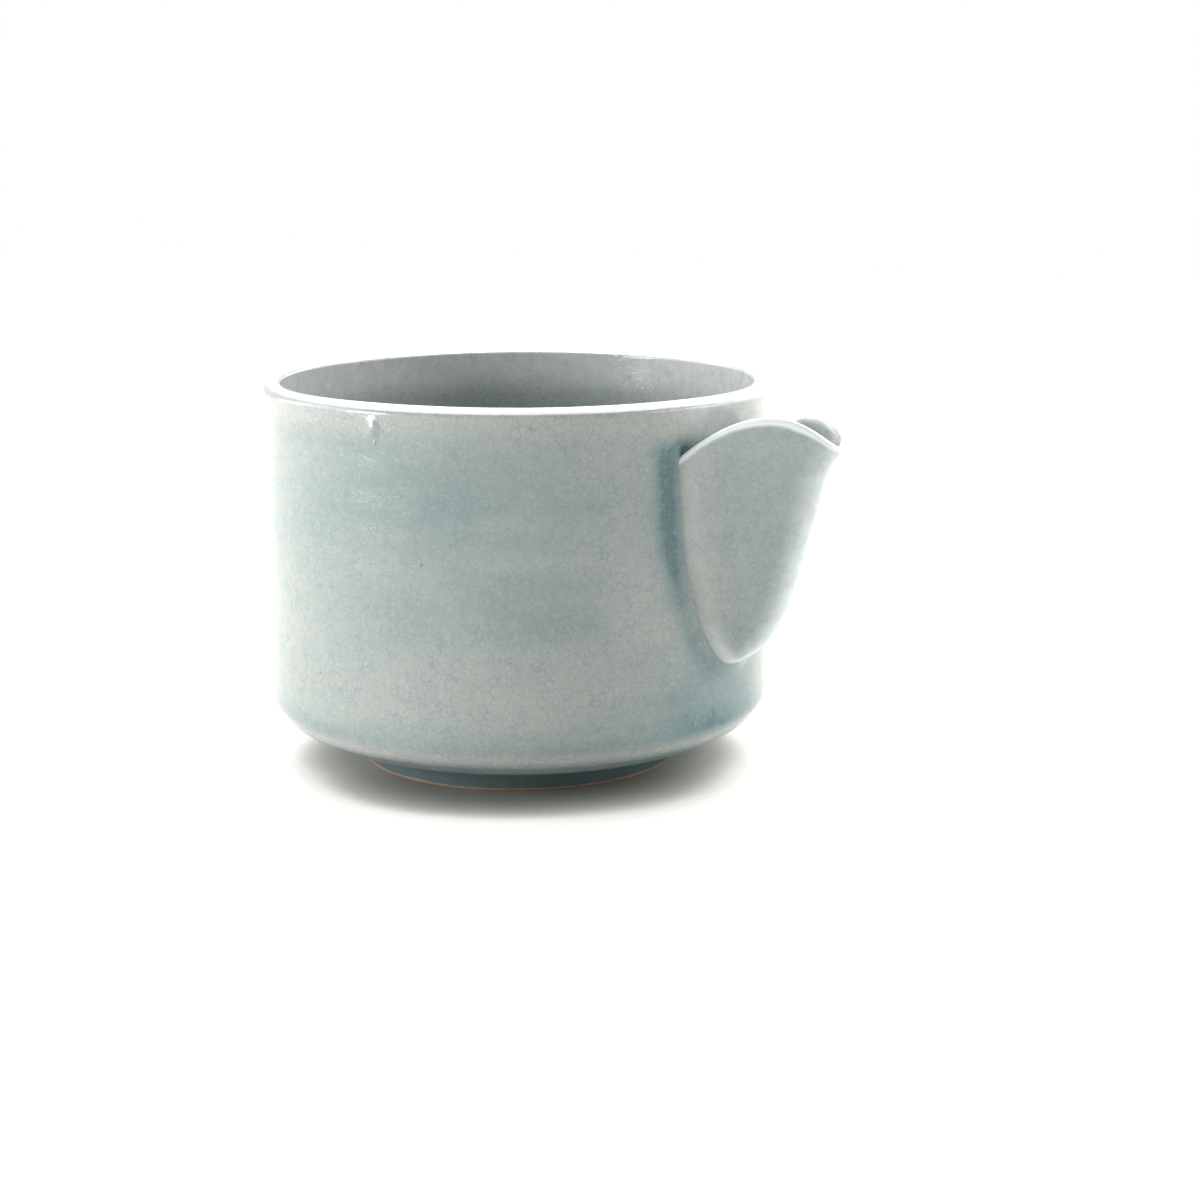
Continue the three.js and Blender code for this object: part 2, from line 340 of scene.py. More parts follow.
@dataclass(frozen=True)
class BowlForm:
    """Sizes of the thrown bowl, from its turning axis and the table."""

    axis_x: float
    rim_radius: float = 50 * MM
    height: float = 76 * MM
    wall: float = 3.4 * MM
    floor_height: float = 9.6 * MM
    neck_depth: float = 0.25 * MM
    neck_height: float = 67 * MM
    neck_spread: float = 9 * MM
    draft: float = 0.4 * MM
    rim_crest_in: float = 2.4 * MM
    rim_fall: float = 1.3 * MM
    foot_height: float = 3.9 * MM
    foot_radius: float = 31.2 * MM
    foot_flare: float = 0.9 * MM
    foot_width: float = 4.2 * MM
    base_sweep: tuple[tuple[float, float, float], ...] = (
        (41 * MM, 6.0 * MM, 14 * MM),
        (47.2 * MM, 9.1 * MM, 7 * MM),
        (50 * MM, 12.8 * MM, 4.5 * MM),
    )
    inner_corner: float = 11 * MM
    throwing_ring: float = 6.3 * MM
    finer_ring: float = 2.9 * MM

    def drawn_in(self, z: np.ndarray) -> np.ndarray:
        """Says how far the wall draws in: at its neck, and a little towards the base.

        Args:
            z: Heights.

        Returns:
            How far the wall lies inside its full radius.
        """
        away = (self.neck_height - z) / self.neck_spread
        spread = np.where(away > 0, 2.0, 0.55)
        neck = self.neck_depth * np.exp(-((away / spread) ** 2))
        return neck + self.draft * eased(z, 64 * MM, 28 * MM)

    def unevenness(self, angle: np.ndarray, z: np.ndarray) -> np.ndarray:
        """Gives the marks of throwing: soft rings that climb the wall, and a rim not quite round.

        Args:
            angle: Angles round the axis.
            z: Heights.

        Returns:
            How far the surface lies inside a perfectly turned one.
        """
        ring = np.sin(math.tau * z / self.throwing_ring + angle + 0.9 * np.sin(angle + 0.6))
        finer = np.sin(math.tau * z / self.finer_ring - angle + 1.3 * np.sin(2 * angle))
        body = eased(z, 12 * MM, 18 * MM) * eased(z, 73 * MM, 66 * MM)
        fading = 0.6 + 0.4 * np.sin(2 * angle + z / (11 * MM))
        oval = 0.07 * (1 + np.cos(2 * angle + 0.7)) + 0.04 * (1 + np.cos(3 * angle + 2.0))
        rings = body * (0.045 * (1 + ring) * fading + 0.012 * (1 + finer))
        return (oval * eased(z, 8 * MM, 40 * MM) + rings) * MM

    def wall_radius(self, angle: np.ndarray, z: np.ndarray) -> np.ndarray:
        """Gives the outer radius of the finished wall at angles and heights."""
        return self.rim_radius - self.drawn_in(z) - self.unevenness(angle, z)

    def wall_radius_at(self, angle: float, z: float) -> float:
        """Gives the outer radius of the finished wall at one angle and height."""
        return float(self.wall_radius(np.array([angle]), np.array([z]))[0])


@dataclass(frozen=True)
class SpoutForm:
    """Shape of the spout: a shell folded along its keel, in level sections off the wall."""

    bowl: BowlForm
    half_width: float = 17.0 * MM
    roll: float = 1.0 * MM
    bottom: float = 23.7 * MM
    round_from: float = 69 * MM
    round_power: float = 2.25
    thickness: float = 2.6 * MM
    step: float = 1.7 * MM
    keel_reach: float = 70.5 * MM
    keel_lean: float = math.tan(math.radians(16.5))
    keel_bulge_from: float = 40 * MM
    keel_round_top: float = 5 * MM
    keel_round_bottom: float = 13 * MM
    beak_flare: float = 2.0 * MM
    beak_flare_height: float = 2.6 * MM
    lip_root: float = 64.5 * MM
    lip_crest: float = 73.0 * MM
    lip_crest_reach: float = 63 * MM
    lip_tip: float = 67.1 * MM
    lip_tilt: float = math.radians(5)
    # The pool beside the spout is pooled glaze and painted shade in the seam.
    pool_and_shade_across: Swell = Swell(2.1, 2.6, 0.62)
    pool_and_shade_foot: Fade = Fade(19, 32)
    pool_and_shade_upper: Fade = Fade(34, 46, 0.36)
    pool_and_shade_top: Fade = Fade(70.5, 66.5)

    @property
    def wall_root(self) -> float:
        """Gives the distance along X from the axis at which the spout's sides meet the wall."""
        return math.sqrt(self.bowl.rim_radius**2 - self.half_width**2)

    def eased_in(self, z: float, start: float, bottom: float, power: float = 2.0) -> float:
        """Gives the share of full size left at a height, easing to 0 at the bottom."""
        below = min(max((start - z) / (start - bottom), 0.0), 1.0)
        return (1 - below**power) ** (1 / power)

    def half(self, z: float, inset: float = 0.0) -> float:
        """Gives half the spout's width at a height, for a shape that far inside its outer face."""
        full = self.half_width - inset
        return full * self.eased_in(z, self.round_from, self.bottom + inset, self.round_power)

    def reach(self, y: float, z: float, inset: float = 0.0) -> float:
        """Gives how far from the axis the flank stands.

        Args:
            y: Distance aside from the keel.
            z: Height.
            inset: How far inside its foot's outline the shape lies; its outer face is at the roll.

        Returns:
            Distance along X from the turning axis.
        """
        bottom = self.bottom + inset
        half = max(self.half(z, inset), 1e-6)
        radius = self.bowl.rim_radius
        off = self.step + self.roll - inset
        edge = math.sqrt(radius**2 - half**2) + off
        root = radius + off
        flare = min(max(1 - (self.lip_tip - z) / self.beak_flare_height, 0), 1.4)
        line = self.keel_reach - (self.lip_tip - z) * self.keel_lean + self.roll - inset
        keel = root + (line - root) * self.eased_in(z, self.keel_bulge_from, bottom)
        keel += self.beak_flare * flare**2
        share = min(max((z - bottom) / (self.lip_tip - bottom), 0), 1)
        rounding = self.keel_round_bottom + (self.keel_round_top - self.keel_round_bottom) * share
        spread = math.hypot(half, rounding) - rounding
        fall = (math.hypot(min(abs(y), half), rounding) - rounding) / spread
        return keel - (keel - edge) * fall

    def lip_height(self, x: float, y: float) -> float:
        """Gives the height of the lip's cut over a point, from the axis, lower on the +Y side.

        Args:
            x: Distance from the turning axis along X.
            y: Distance aside from the keel.

        Returns:
            Height of the cut.
        """
        rising = x <= self.lip_crest_reach
        end = self.wall_root if rising else self.keel_reach + self.beak_flare
        drop = self.lip_crest - (self.lip_root if rising else self.lip_tip)
        share = min((x - self.lip_crest_reach) / (end - self.lip_crest_reach), 1.4)
        fall = drop * share**2 / math.cos(self.lip_tilt)
        return self.lip_crest - fall - y * math.tan(self.lip_tilt)

    def lip_over(self, side: float, inset: float = 0.0) -> tuple[float, float]:
        """Finds the lip on the flank.

        Args:
            side: Share of the half width, from -1 to 1.
            inset: How far inside the outer face the flank lies.

        Returns:
            Distance aside from the keel, and height, of the point where the flank meets the cut.
        """
        low, high = self.bottom + 20 * MM, self.lip_crest + 8 * MM
        for _ in range(40):
            z = (low + high) / 2
            y = side * self.half(z, inset)
            if z < self.lip_height(self.reach(y, z, inset), y):
                low = z
            else:
                high = z
        return y, z

    def outline(self, share: float, inset: float = 0.0) -> tuple[float, float]:
        """Walks the spout's outline.

        Args:
            share: 0 at the bottom, 1 where the rounding starts on the +Y side, -1 on the -Y side.
            inset: How far inside the outer face the outline lies.

        Returns:
            Distance aside from the keel, and height.
        """
        down = math.cos(share * math.pi / 2) ** (2 / self.round_power)
        z = self.round_from + (self.bottom + inset - self.round_from) * down
        return math.copysign(self.half(z, inset), share), z

    def outwards(self, y: float, z: float) -> Vector:
        """Gives the way straight out of the outline, aside and up, from a point near it.

        Args:
            y: Distance aside from the keel.
            z: Height.

        Returns:
            The direction, of length 1.
        """
        power = self.round_power - 1
        tall = self.round_from - self.bottom
        aside = (abs(y) / self.half_width) ** power / self.half_width
        down = (max(self.round_from - z, 0) / tall) ** power / tall
        return Vector((math.copysign(aside, y), -down)).normalized()

    def unrolled_outline(self) -> np.ndarray:
        """Lists points of the outline on the unrolled wall.

        Returns:
            Rows of distance along the wall and height.
        """
        ends = [self.lip_over(side)[1] for side in (-1.0, 1.0)]
        points = [self.outline(share) for share in np.linspace(-0.9999, 0.9999, 241)]
        points = [(y, z) for y, z in points if z <= ends[0 if y < 0 else 1]]
        radius = self.bowl.rim_radius
        return np.array([(radius * math.asin(y / radius), z) for y, z in points])

    def distance_on_wall(self, angle: np.ndarray, z: np.ndarray) -> np.ndarray:
        """Measures how far points of the wall lie from the spout's outline.

        Args:
            angle: Angles round the axis, 0 at the spout.
            z: Heights.

        Returns:
            Distances along the unrolled wall, never less than 0.
        """
        line = self.unrolled_outline()
        result = np.full(len(z), 1.0)
        near = np.abs(angle) < math.radians(50)
        here = np.stack([self.bowl.rim_radius * angle[near], z[near]], 1)
        best = np.full(len(here), 1.0)
        for a, b in zip(line, line[1:]):
            run = b - a
            share = np.clip(((here - a) @ run) / (run @ run), 0, 1)
            best = np.minimum(best, np.hypot(*(here - a - share[:, None] * run).T))
        result[near] = best
        return result

    def pooled(self, angle: np.ndarray, z: np.ndarray) -> np.ndarray:
        """Gives how much more glaze lies in the hollow beside the spout, at points of the wall,
        with painted shade laid into the same hollow.

        Args:
            angle: Angles round the axis, 0 at the spout.
            z: Heights.

        Returns:
            Depths to add, from 0.
        """
        away = self.distance_on_wall(angle, z)
        aside = self.bowl.rim_radius * np.sin(angle)
        covered = [
            abs(y) < self.half(height) and height < self.lip_height(self.wall_root, y)
            for y, height in zip(aside, z)
        ]
        away = np.where(covered, -away, away)
        upper = 1 - self.pool_and_shade_upper.amount + self.pool_and_shade_upper.at(z)
        return self.pool_and_shade_across.at(away) * self.pool_and_shade_foot.at(z) * upper * self.pool_and_shade_top.at(z)


class Sheet(Enum):
    """The two faces of the spout's shell."""

    OUTER = "outer"
    INNER = "inner"


@dataclass(frozen=True)
class GlazePatch:
    """A soft patch where the glaze lies thicker or thinner, in degrees and millimetres."""

    angle: float
    height: float
    half_turn: float
    half_height: float
    depth: float

    def on(self, angle: np.ndarray, z: np.ndarray) -> np.ndarray:
        """Gives what it adds to the depth of the glaze.

        Args:
            angle: Angles round the axis, in degrees.
            z: Heights, in millimetres.

        Returns:
            Depths to add.
        """
        aside = (angle - self.angle + 180) % 360 - 180
        away = np.hypot(aside / self.half_turn, (z - self.height) / self.half_height)
        return self.depth * eased(away, 1.25, 0.35)


PATCHES = (
    GlazePatch(-86, 58, 26, 12, 0.17),
    GlazePatch(-56, 58, 22, 10, 0.09),
    GlazePatch(-57, 48, 13, 2.4, -0.07),
    GlazePatch(-53, 40, 22, 7, 0.14),
    GlazePatch(-46, 35, 9, 3.5, 0.08),
    GlazePatch(-85, 38, 16, 8, 0.17),
    GlazePatch(-60, 24, 34, 8, -0.08),
    GlazePatch(-31, 45, 7, 18, -0.10),
    GlazePatch(-30, 15, 16, 6, 0.04),
    GlazePatch(-8, 19, 22, 9, 0.38),
    GlazePatch(60, 52, 30, 12, 0.13),
    GlazePatch(112, 34, 34, 9, 0.14),
    GlazePatch(165, 58, 32, 10, 0.11),
    GlazePatch(190, 28, 24, 8, -0.10),
    GlazePatch(215, 44, 20, 9, 0.12),
    GlazePatch(80, 24, 20, 7, -0.07),
)


@dataclass(frozen=True)
class GlazeMark:
    """A speck of iron in the glaze or a bead of run glaze, in degrees and millimetres."""

    angle: float
    height: float
    across: float
    tall: float
    rise: float = 0.0
    inwards: float = 0.0

    @property
    def size(self) -> tuple[float, float, float]:
        """Gives its half width, twice, and its half height in metres."""
        return (self.across * MM, self.across * MM, self.tall * MM)

    def place(self, form: BowlForm) -> tuple[float, float, float]:
        """Gives where it lies on the wall.

        Args:
            form: Sizes of the bowl.

        Returns:
            Its place in the shared frame.
        """
        turn, z = math.radians(self.angle), self.height * MM
        radius = form.wall_radius_at(turn, z) - self.inwards * MM
        return (form.axis_x + radius * math.cos(turn), radius * math.sin(turn), z)


IRON_SPECKS = (
    GlazeMark(-75.8, 47.1, 0.42, 0.55),
    GlazeMark(-33.2, 33.6, 0.3, 0.3),
    GlazeMark(-104, 24, 0.3, 0.35),
    GlazeMark(38, 30, 0.4, 0.4),
    GlazeMark(96, 61, 0.35, 0.45),
    GlazeMark(171, 37, 0.45, 0.4),
)
GLAZE_BEADS = (
    GlazeMark(-87, 71.4, 2.3, 2.8, rise=0.42),
    GlazeMark(-86.4, 68.9, 0.6, 0.8, rise=0.18),
    GlazeMark(97, 75.6, 1.3, 1.0, rise=0.25, inwards=2.6),
    GlazeMark(148, 70.5, 1.6, 2.6, rise=0.20),
)


@dataclass(frozen=True)
class WallGlaze:
    """The glaze on the outside of the wall: 0 is thin and warm grey, 1 is pooled and deep teal. It
    also holds painted light on the wall behind the lip, painted shade under the base, and a painted
    reflection in the pale line on the base's turn.
    """

    even: float = 0.38
    upper_wall: Fade = Fade(36, 50, 0.08)
    under_rim: Fade = Fade(68.5, 73, -0.22)
    # Painted light: the wall behind the spout's lip is painted paler, where the spout shades it.
    painted_light_behind_lip: Fade = Fade(67, 71, -0.20)
    painted_light_behind_lip_turn: tuple[float, float] = (24, 16)
    above_base: Fade = Fade(18, 13, 0.28)
    # Pale line on the base's turn: thinner glaze, and a painted reflection of the bright floor.
    base_turn: Swell = Swell(10.7, 1.25, -0.42)
    # Painted shade: the glaze is darkened under the base, where little light reaches.
    painted_shade_under_base: Fade = Fade(9.8, 8.2, 0.12)
    patches: tuple[GlazePatch, ...] = PATCHES

    def depth(self, angle: np.ndarray, z: np.ndarray) -> np.ndarray:
        """Gives how deep the glaze lies, with painted light and painted shade added.

        Args:
            angle: Angles round the axis.
            z: Heights.

        Returns:
            Depths, about 0 to 1.
        """
        turn = np.degrees(angle)
        # The base's turn adds a pale line, partly a painted reflection of the floor.
        depth = self.even + self.upper_wall.at(z) + self.under_rim.at(z) + self.base_turn.at(z)
        depth += self.above_base.at(z) * (0.75 + 0.25 * np.sin(3 * angle + 1.9))
        # Painted light behind the lip.
        depth += self.painted_light_behind_lip.at(z) * eased(np.abs(turn), *self.painted_light_behind_lip_turn)
        # Painted shade under the base.
        depth += self.painted_shade_under_base.at(z)
        for patch in self.patches:
            depth += patch.on(turn, z / MM)
        return depth


class Wiring:
    """Lays out and joins shader nodes."""

    def __init__(self, tree: bpy.types.NodeTree) -> None:
        """Takes the tree that the nodes go into."""
        self.tree = tree

    def add(self, kind: str, **settings: object) -> bpy.types.Node:
        """Adds a node and sets its options.

        Args:
            kind: Kind of node.
            settings: Options of the node, by name.

        Returns:
            The node.
        """
        node = self.tree.nodes.new(kind)
        for key, value in settings.items():
            setattr(node, key, value)
        return node

    def feed(self, socket: bpy.types.NodeSocket, value: object) -> None:
        """Links a socket to another, or sets it to a plain value.

        Args:
            socket: The input to feed.
            value: Another socket, or a number or colour.
        """
        if isinstance(value, bpy.types.NodeSocket):
            self.tree.links.new(value, socket)
        else:
            socket.default_value = value

    def fill(self, node: bpy.types.Node, **values: object) -> None:
        """Feeds a node's inputs by their names, with _ for a space."""
        for key, value in values.items():
            self.feed(node.inputs[key.replace("_", " ")], value)

    def sum(
        self, operation: str, first: object, second: object = 0.0, third: object = 0.0
    ) -> bpy.types.NodeSocket:
        """Works out one sum on numbers or sockets.

        Args:
            operation: Name of the sum.
            first: First number or socket.
            second: Second number or socket.
            third: Third number or socket.

        Returns:
            The result.
        """
        node = self.add("ShaderNodeMath", operation=operation)
        for socket, value in zip(node.inputs, (first, second, third)):
            self.feed(socket, value)
        return node.outputs[0]

    def sum_of_ways(
        self, operation: str, first: object, second: object = None, out: str = "Vector"
    ) -> bpy.types.NodeSocket:
        """Works out one sum on places or directions.

        Args:
            operation: Name of the sum.
            first: First place or direction.
            second: Second one, or a scale.
            out: Output to read, which is Value where the result is a number.

        Returns:
            The result.
        """
        node = self.add("ShaderNodeVectorMath", operation=operation)
        self.feed(node.inputs[0], first)
        if second is not None:
            self.feed(node.inputs["Scale" if operation == "SCALE" else 1], second)
        return node.outputs[out]

    def between(
        self, value: object, low: float, high: float, out_low: float = 0.0, out_high: float = 1.0
    ) -> bpy.types.NodeSocket:
        """Maps a range smoothly to another.

        Args:
            value: Number or socket to map.
            low: Where the range starts.
            high: Where the range ends.
            out_low: Result at the start.
            out_high: Result at the end.

        Returns:
            The mapped value.
        """
        node = self.add("ShaderNodeMapRange", interpolation_type="SMOOTHSTEP")
        self.fill(node, Value=value, From_Min=low, From_Max=high, To_Min=out_low, To_Max=out_high)
        return node.outputs["Result"]

    def blend(self, share: object, first: object, second: object) -> bpy.types.NodeSocket:
        """Mixes two colours.

        Args:
            share: Share of the second colour.
            first: First colour.
            second: Second colour.

        Returns:
            The mixed colour.
        """
        node = self.add("ShaderNodeMix", data_type="RGBA")
        for number, value in ((0, share), (6, first), (7, second)):
            self.feed(node.inputs[number], value)
        return node.outputs[2]

    def seen_directly(self) -> bpy.types.NodeSocket:
        """Gives 1 to the camera, mirrors and glass, and 0 to light that goes on to other things.

        Returns:
            1 for a ray that sees the surface itself, 0 for light passed on.
        """
        rays = self.add("ShaderNodeLightPath").outputs
        beyond = self.sum("MAXIMUM", rays["Is Glossy Ray"], rays["Is Transmission Ray"])
        return self.sum("MAXIMUM", rays["Is Camera Ray"], beyond)


class Bench(Wiring):
    """Lays out the shader nodes of one material."""

    def __init__(self, name: str) -> None:
        """Starts a material with one principled shader.

        Args:
            name: Name of the material.
        """
        self.material = bpy.data.materials.new(name)
        self.material.use_nodes = True
        super().__init__(self.material.node_tree)
        self.shader = self.tree.nodes["Principled BSDF"]
        self.place = self.add("ShaderNodeTexCoord").outputs["Object"]

    def stretched(self, across: float, up: float) -> bpy.types.NodeSocket:
        """Gives the place scaled differently across and up.

        Args:
            across: Scale along X and Y.
            up: Scale along Z.

        Returns:
            The scaled place.
        """
        node = self.add("ShaderNodeMapping")
        self.fill(node, Vector=self.place, Scale=(across, across, up))
        return node.outputs["Vector"]

    def cloud(
        self, size: float, detail: float = 3.0, rough: float = 0.5, place: object = None
    ) -> bpy.types.NodeSocket:
        """Gives soft noise, from 0 to 1.

        Args:
            size: Feature size, in metres.
            detail: How many finer layers it has.
            rough: How strong the finer layers are.
            place: Where it is read, if not at the plain place.

        Returns:
            The noise.
        """
        node = self.add("ShaderNodeTexNoise")
        self.fill(node, Vector=place or self.place, Scale=1 / size, Detail=detail, Roughness=rough)
        return node.outputs["Fac"]

    def stain(self, which: Stain) -> bpy.types.NodeSocket:
        """Reads a number written on the vertices."""
        return self.add("ShaderNodeAttribute", attribute_name=which.value).outputs["Fac"]

    def wandering(self, size: float, far: float) -> bpy.types.NodeSocket:
        """Gives the place pushed about by noise, so that lines drawn on it wander.

        Args:
            size: Feature size of the noise, in metres.
            far: How far it pushes, in metres.

        Returns:
            The pushed place.
        """
        noise = self.add("ShaderNodeTexNoise")
        self.fill(noise, Vector=self.place, Scale=1 / size, Detail=2.0)
        centred = self.sum_of_ways("SUBTRACT", noise.outputs["Color"], (0.5, 0.5, 0.5))
        return self.sum_of_ways("ADD", self.place, self.sum_of_ways("SCALE", centred, 2 * far))

    def cracks(self, place: object, cell: float, width: float) -> bpy.types.NodeSocket:
        """Draws a net of cracks.

        Args:
            place: Where the net is read.
            cell: Size of a cell, in metres.
            width: Width of a line, in metres.

        Returns:
            1 on a line, 0 off it.
        """
        node = self.add("ShaderNodeTexVoronoi", feature="DISTANCE_TO_EDGE")
        self.fill(node, Vector=place, Scale=1 / cell)
        line = width / cell
        return self.between(node.outputs["Distance"], 0.1 * line, 0.75 * line, 1.0, 0.0)

    def spot(
        self, centre: tuple[float, float, float], size: tuple[float, float, float]
    ) -> bpy.types.NodeSocket:
        """Gives a soft round spot.

        Args:
            centre: Its middle.
            size: Its half width along each axis.

        Returns:
            1 in the middle, 0 from its edge outwards.
        """
        away = self.sum_of_ways("DIVIDE", self.sum_of_ways("SUBTRACT", self.place, centre), size)
        return self.between(self.sum_of_ways("LENGTH", away, out="Value"), 0.0, 1.0, 1.0, 0.0)

    def finish(
        self, colour: object, roughness: object, height: object, depth: float
    ) -> bpy.types.Material:
        """Joins colour, roughness and relief to the shader.

        Args:
            colour: Colour of the surface.
            roughness: Roughness of the surface.
            height: Relief, from 0 to 1.
            depth: Real height of that relief, in metres.

        Returns:
            The finished material.
        """
        relief = self.add("ShaderNodeBump")
        self.fill(relief, Strength=1.0, Distance=depth, Height=height)
        normal = relief.outputs["Normal"]
        self.fill(self.shader, Base_Color=colour, Roughness=roughness, Normal=normal)
        return self.material


@dataclass(frozen=True)
class Crackle:
    """A net of fine cracks in the glaze, which shows in patches."""

    cell: float
    width: float
    bend_size: float
    bend: float
    patch: float
    patch_steps: tuple[float, float]

    def net(self, bench: Bench) -> bpy.types.NodeSocket:
        """Draws the net, in patches.

        Args:
            bench: Bench of the material.

        Returns:
            1 on a line, 0 off it.
        """
        lines = bench.cracks(bench.wandering(self.bend_size, self.bend), self.cell, self.width)
        patches = bench.between(bench.cloud(self.patch, 2.0), *self.patch_steps)
        return bench.sum("MULTIPLY", lines, patches)


@dataclass(frozen=True)
class CeladonGlaze:
    """Crackled celadon: warm grey where thin, blue-grey to deep teal where it lies thick."""

    bowl: BowlForm
    thin: tuple[int, int, int] = (165, 166, 162)
    even: tuple[int, int, int] = (149, 156, 152)
    thick: tuple[int, int, int] = (133, 146, 144)
    pooled: tuple[int, int, int] = (104, 130, 132)
    # Deep teal of pooled glaze, which the painted shade in the seam also takes.
    deepest: tuple[int, int, int] = (82, 108, 110)
    # Pale glaze where it breaks thin, which the painted light on body and spout also takes.
    broken_and_lit: tuple[int, int, int] = (222, 230, 228)
    dark_crack: tuple[int, int, int] = (106, 128, 131)
    pale_fleck: tuple[int, int, int] = (190, 196, 188)
    iron: tuple[int, int, int] = (86, 82, 76)
    fine: Crackle = Crackle(1.35 * MM, 0.19 * MM, 2.4 * MM, 0.6 * MM, 1.6 * MM, (0.30, 0.56))
    coarse: Crackle = Crackle(2.4 * MM, 0.21 * MM, 4 * MM, 1.2 * MM, 2.4 * MM, (0.32, 0.56))
    mottling: tuple[float, ...] = (0.28, 0.26, 0.34, 0.30)
    fleck_strength: float = 0.16
    speck_strength: float = 0.8
    uneven_wear: float = 0.35
    gloss_ior: float = 1.5
    relief: float = 0.035 * MM
    sunk_cracks: float = -0.25

    def deep(self, bench: Bench, mottled: object) -> bpy.types.NodeSocket:
        """Colours the glaze by how deep it lies, a depth that also holds painted shade.

        Args:
            bench: Bench of the material.
            mottled: Noise that mottles it.

        Returns:
            The colour.
        """
        broad = bench.cloud(17 * MM, 2.0)
        banded = bench.cloud(1.0, 3.0, 0.55, bench.stretched(1 / (26 * MM), 1 / (5 * MM)))
        grain = bench.cloud(0.62 * MM, 2.0, 0.6)
        depth = bench.stain(Stain.DEPTH)
        for noise, weight in zip((broad, banded, mottled, grain), self.mottling):
            depth = bench.sum("MULTIPLY_ADD", bench.sum("SUBTRACT", noise, 0.5), weight, depth)
        ramp = bench.add("ShaderNodeValToRGB")
        bench.fill(ramp, Fac=depth)
        stops = ramp.color_ramp.elements
        stops[0].position, stops[0].color = 0.12, seen(*self.thin)
        stops[1].position, stops[1].color = 1.0, seen(*self.deepest)
        for position, colour in ((0.40, self.even), (0.62, self.thick), (0.86, self.pooled)):
            stops.new(position).color = seen(*colour)
        return ramp.outputs["Color"]

    def colour(self, bench: Bench) -> tuple[bpy.types.NodeSocket, bpy.types.NodeSocket]:
        """Lays out the glaze's colour.

        Args:
            bench: Bench of the material.

        Returns:
            The colour, and the net of cracks for the relief.
        """
        mottled = bench.cloud(2.6 * MM, 3.0, 0.65)
        colour = self.deep(bench, mottled)
        fine, coarse = self.fine.net(bench), self.coarse.net(bench)
        here = bench.between(bench.cloud(5 * MM, 2.0), 0.36, 0.64)
        flecks = bench.between(bench.cloud(0.8 * MM, 2.0, 0.55), 0.56, 0.74)
        pale = bench.sum("MULTIPLY", flecks, self.fleck_strength)
        colour = bench.blend(pale, colour, seen(*self.pale_fleck))
        for net, change, least in ((fine, 0.30, 0.12), (coarse, -0.14, 0.30)):
            strength = bench.sum("MULTIPLY_ADD", here, change, least)
            lines = bench.sum("MULTIPLY", net, strength)
            colour = bench.blend(lines, colour, seen(*self.dark_crack))
        for speck in IRON_SPECKS:
            spot = bench.spot(speck.place(self.bowl), speck.size)
            share = bench.sum("MULTIPLY", spot, self.speck_strength)
            colour = bench.blend(share, colour, seen(*self.iron))
        uneven = bench.sum("SUBTRACT", mottled, 0.5)
        # The break stain holds painted light as well as thin glaze, so this blend paints light too.
        worn_and_lit = bench.sum("MULTIPLY_ADD", uneven, self.uneven_wear, bench.stain(Stain.BREAK))
        colour = bench.blend(bench.between(worn_and_lit, 0.1, 0.95), colour, seen(*self.broken_and_lit))
        return colour, bench.sum("MAXIMUM", fine, coarse)

    def material(self) -> bpy.types.Material:
        """Makes the glaze's material.

        Returns:
            The finished material.
        """
        bench = Bench("crackled_celadon")
        colour, net = self.colour(bench)
        soft = bench.cloud(3.4 * MM, 2.0, 0.45)
        height = bench.sum("MULTIPLY_ADD", net, self.sunk_cracks, soft)
        for bead in GLAZE_BEADS:
            raised = bench.spot(bead.place(self.bowl), bead.size)
            height = bench.sum("MULTIPLY_ADD", raised, bead.rise * MM / self.relief, height)
        roughness = bench.between(bench.cloud(4 * MM, 3.0), 0.3, 0.7, 0.10, 0.20)
        bench.shader.inputs["IOR"].default_value = self.gloss_ior
        return bench.finish(colour, roughness, height, self.relief)


@dataclass(frozen=True)
class FootFinish:
    """The foot ring's finish: glaze run thick on its sides, wiped off bare clay at its face."""

    glaze: CeladonGlaze
    shaded: tuple[int, int, int] = (84, 91, 93)
    run: tuple[int, int, int] = (80, 98, 100)
    bare: tuple[int, int, int] = (158, 130, 110)
    toasted: tuple[int, int, int] = (124, 98, 80)
    wiped_height: float = 0.6 * MM
    wiped_sway: float = 0.5 * MM
    soft_line: float = 0.06 * MM
    relief: float = 0.06 * MM

    def material(self) -> bpy.types.Material:
        """Makes the foot's material.

        Returns:
            The finished material.
        """
        bench = Bench("foot_glaze_and_bare_clay")
        clouded = bench.between(bench.cloud(3 * MM, 3.0), 0.3, 0.7)
        colour = bench.blend(clouded, seen(*self.shaded), seen(*self.run))
        split = bench.add("ShaderNodeSeparateXYZ")
        bench.feed(split.inputs[0], bench.place)
        lowest = self.wiped_height - self.wiped_sway / 2
        edge = bench.sum("MULTIPLY_ADD", bench.cloud(4 * MM, 3.0), self.wiped_sway, lowest)
        over = bench.sum("SUBTRACT", split.outputs["Z"], edge)
        glazed = bench.between(over, -self.soft_line, self.soft_line)
        sandy = bench.between(bench.cloud(0.5 * MM, 4.0, 0.7), 0.3, 0.7)
        clay = bench.blend(sandy, seen(*self.toasted), seen(*self.bare))
        shown = bench.blend(glazed, clay, colour)
        roughness = bench.between(glazed, 0.0, 1.0, 0.85, 0.16)
        height = bench.blend(glazed, bench.cloud(0.35 * MM, 3.0, 0.7), bench.cloud(3.4 * MM, 2.0))
        bench.shader.inputs["IOR"].default_value = self.glaze.gloss_ior
        return bench.finish(shown, roughness, height, self.relief)


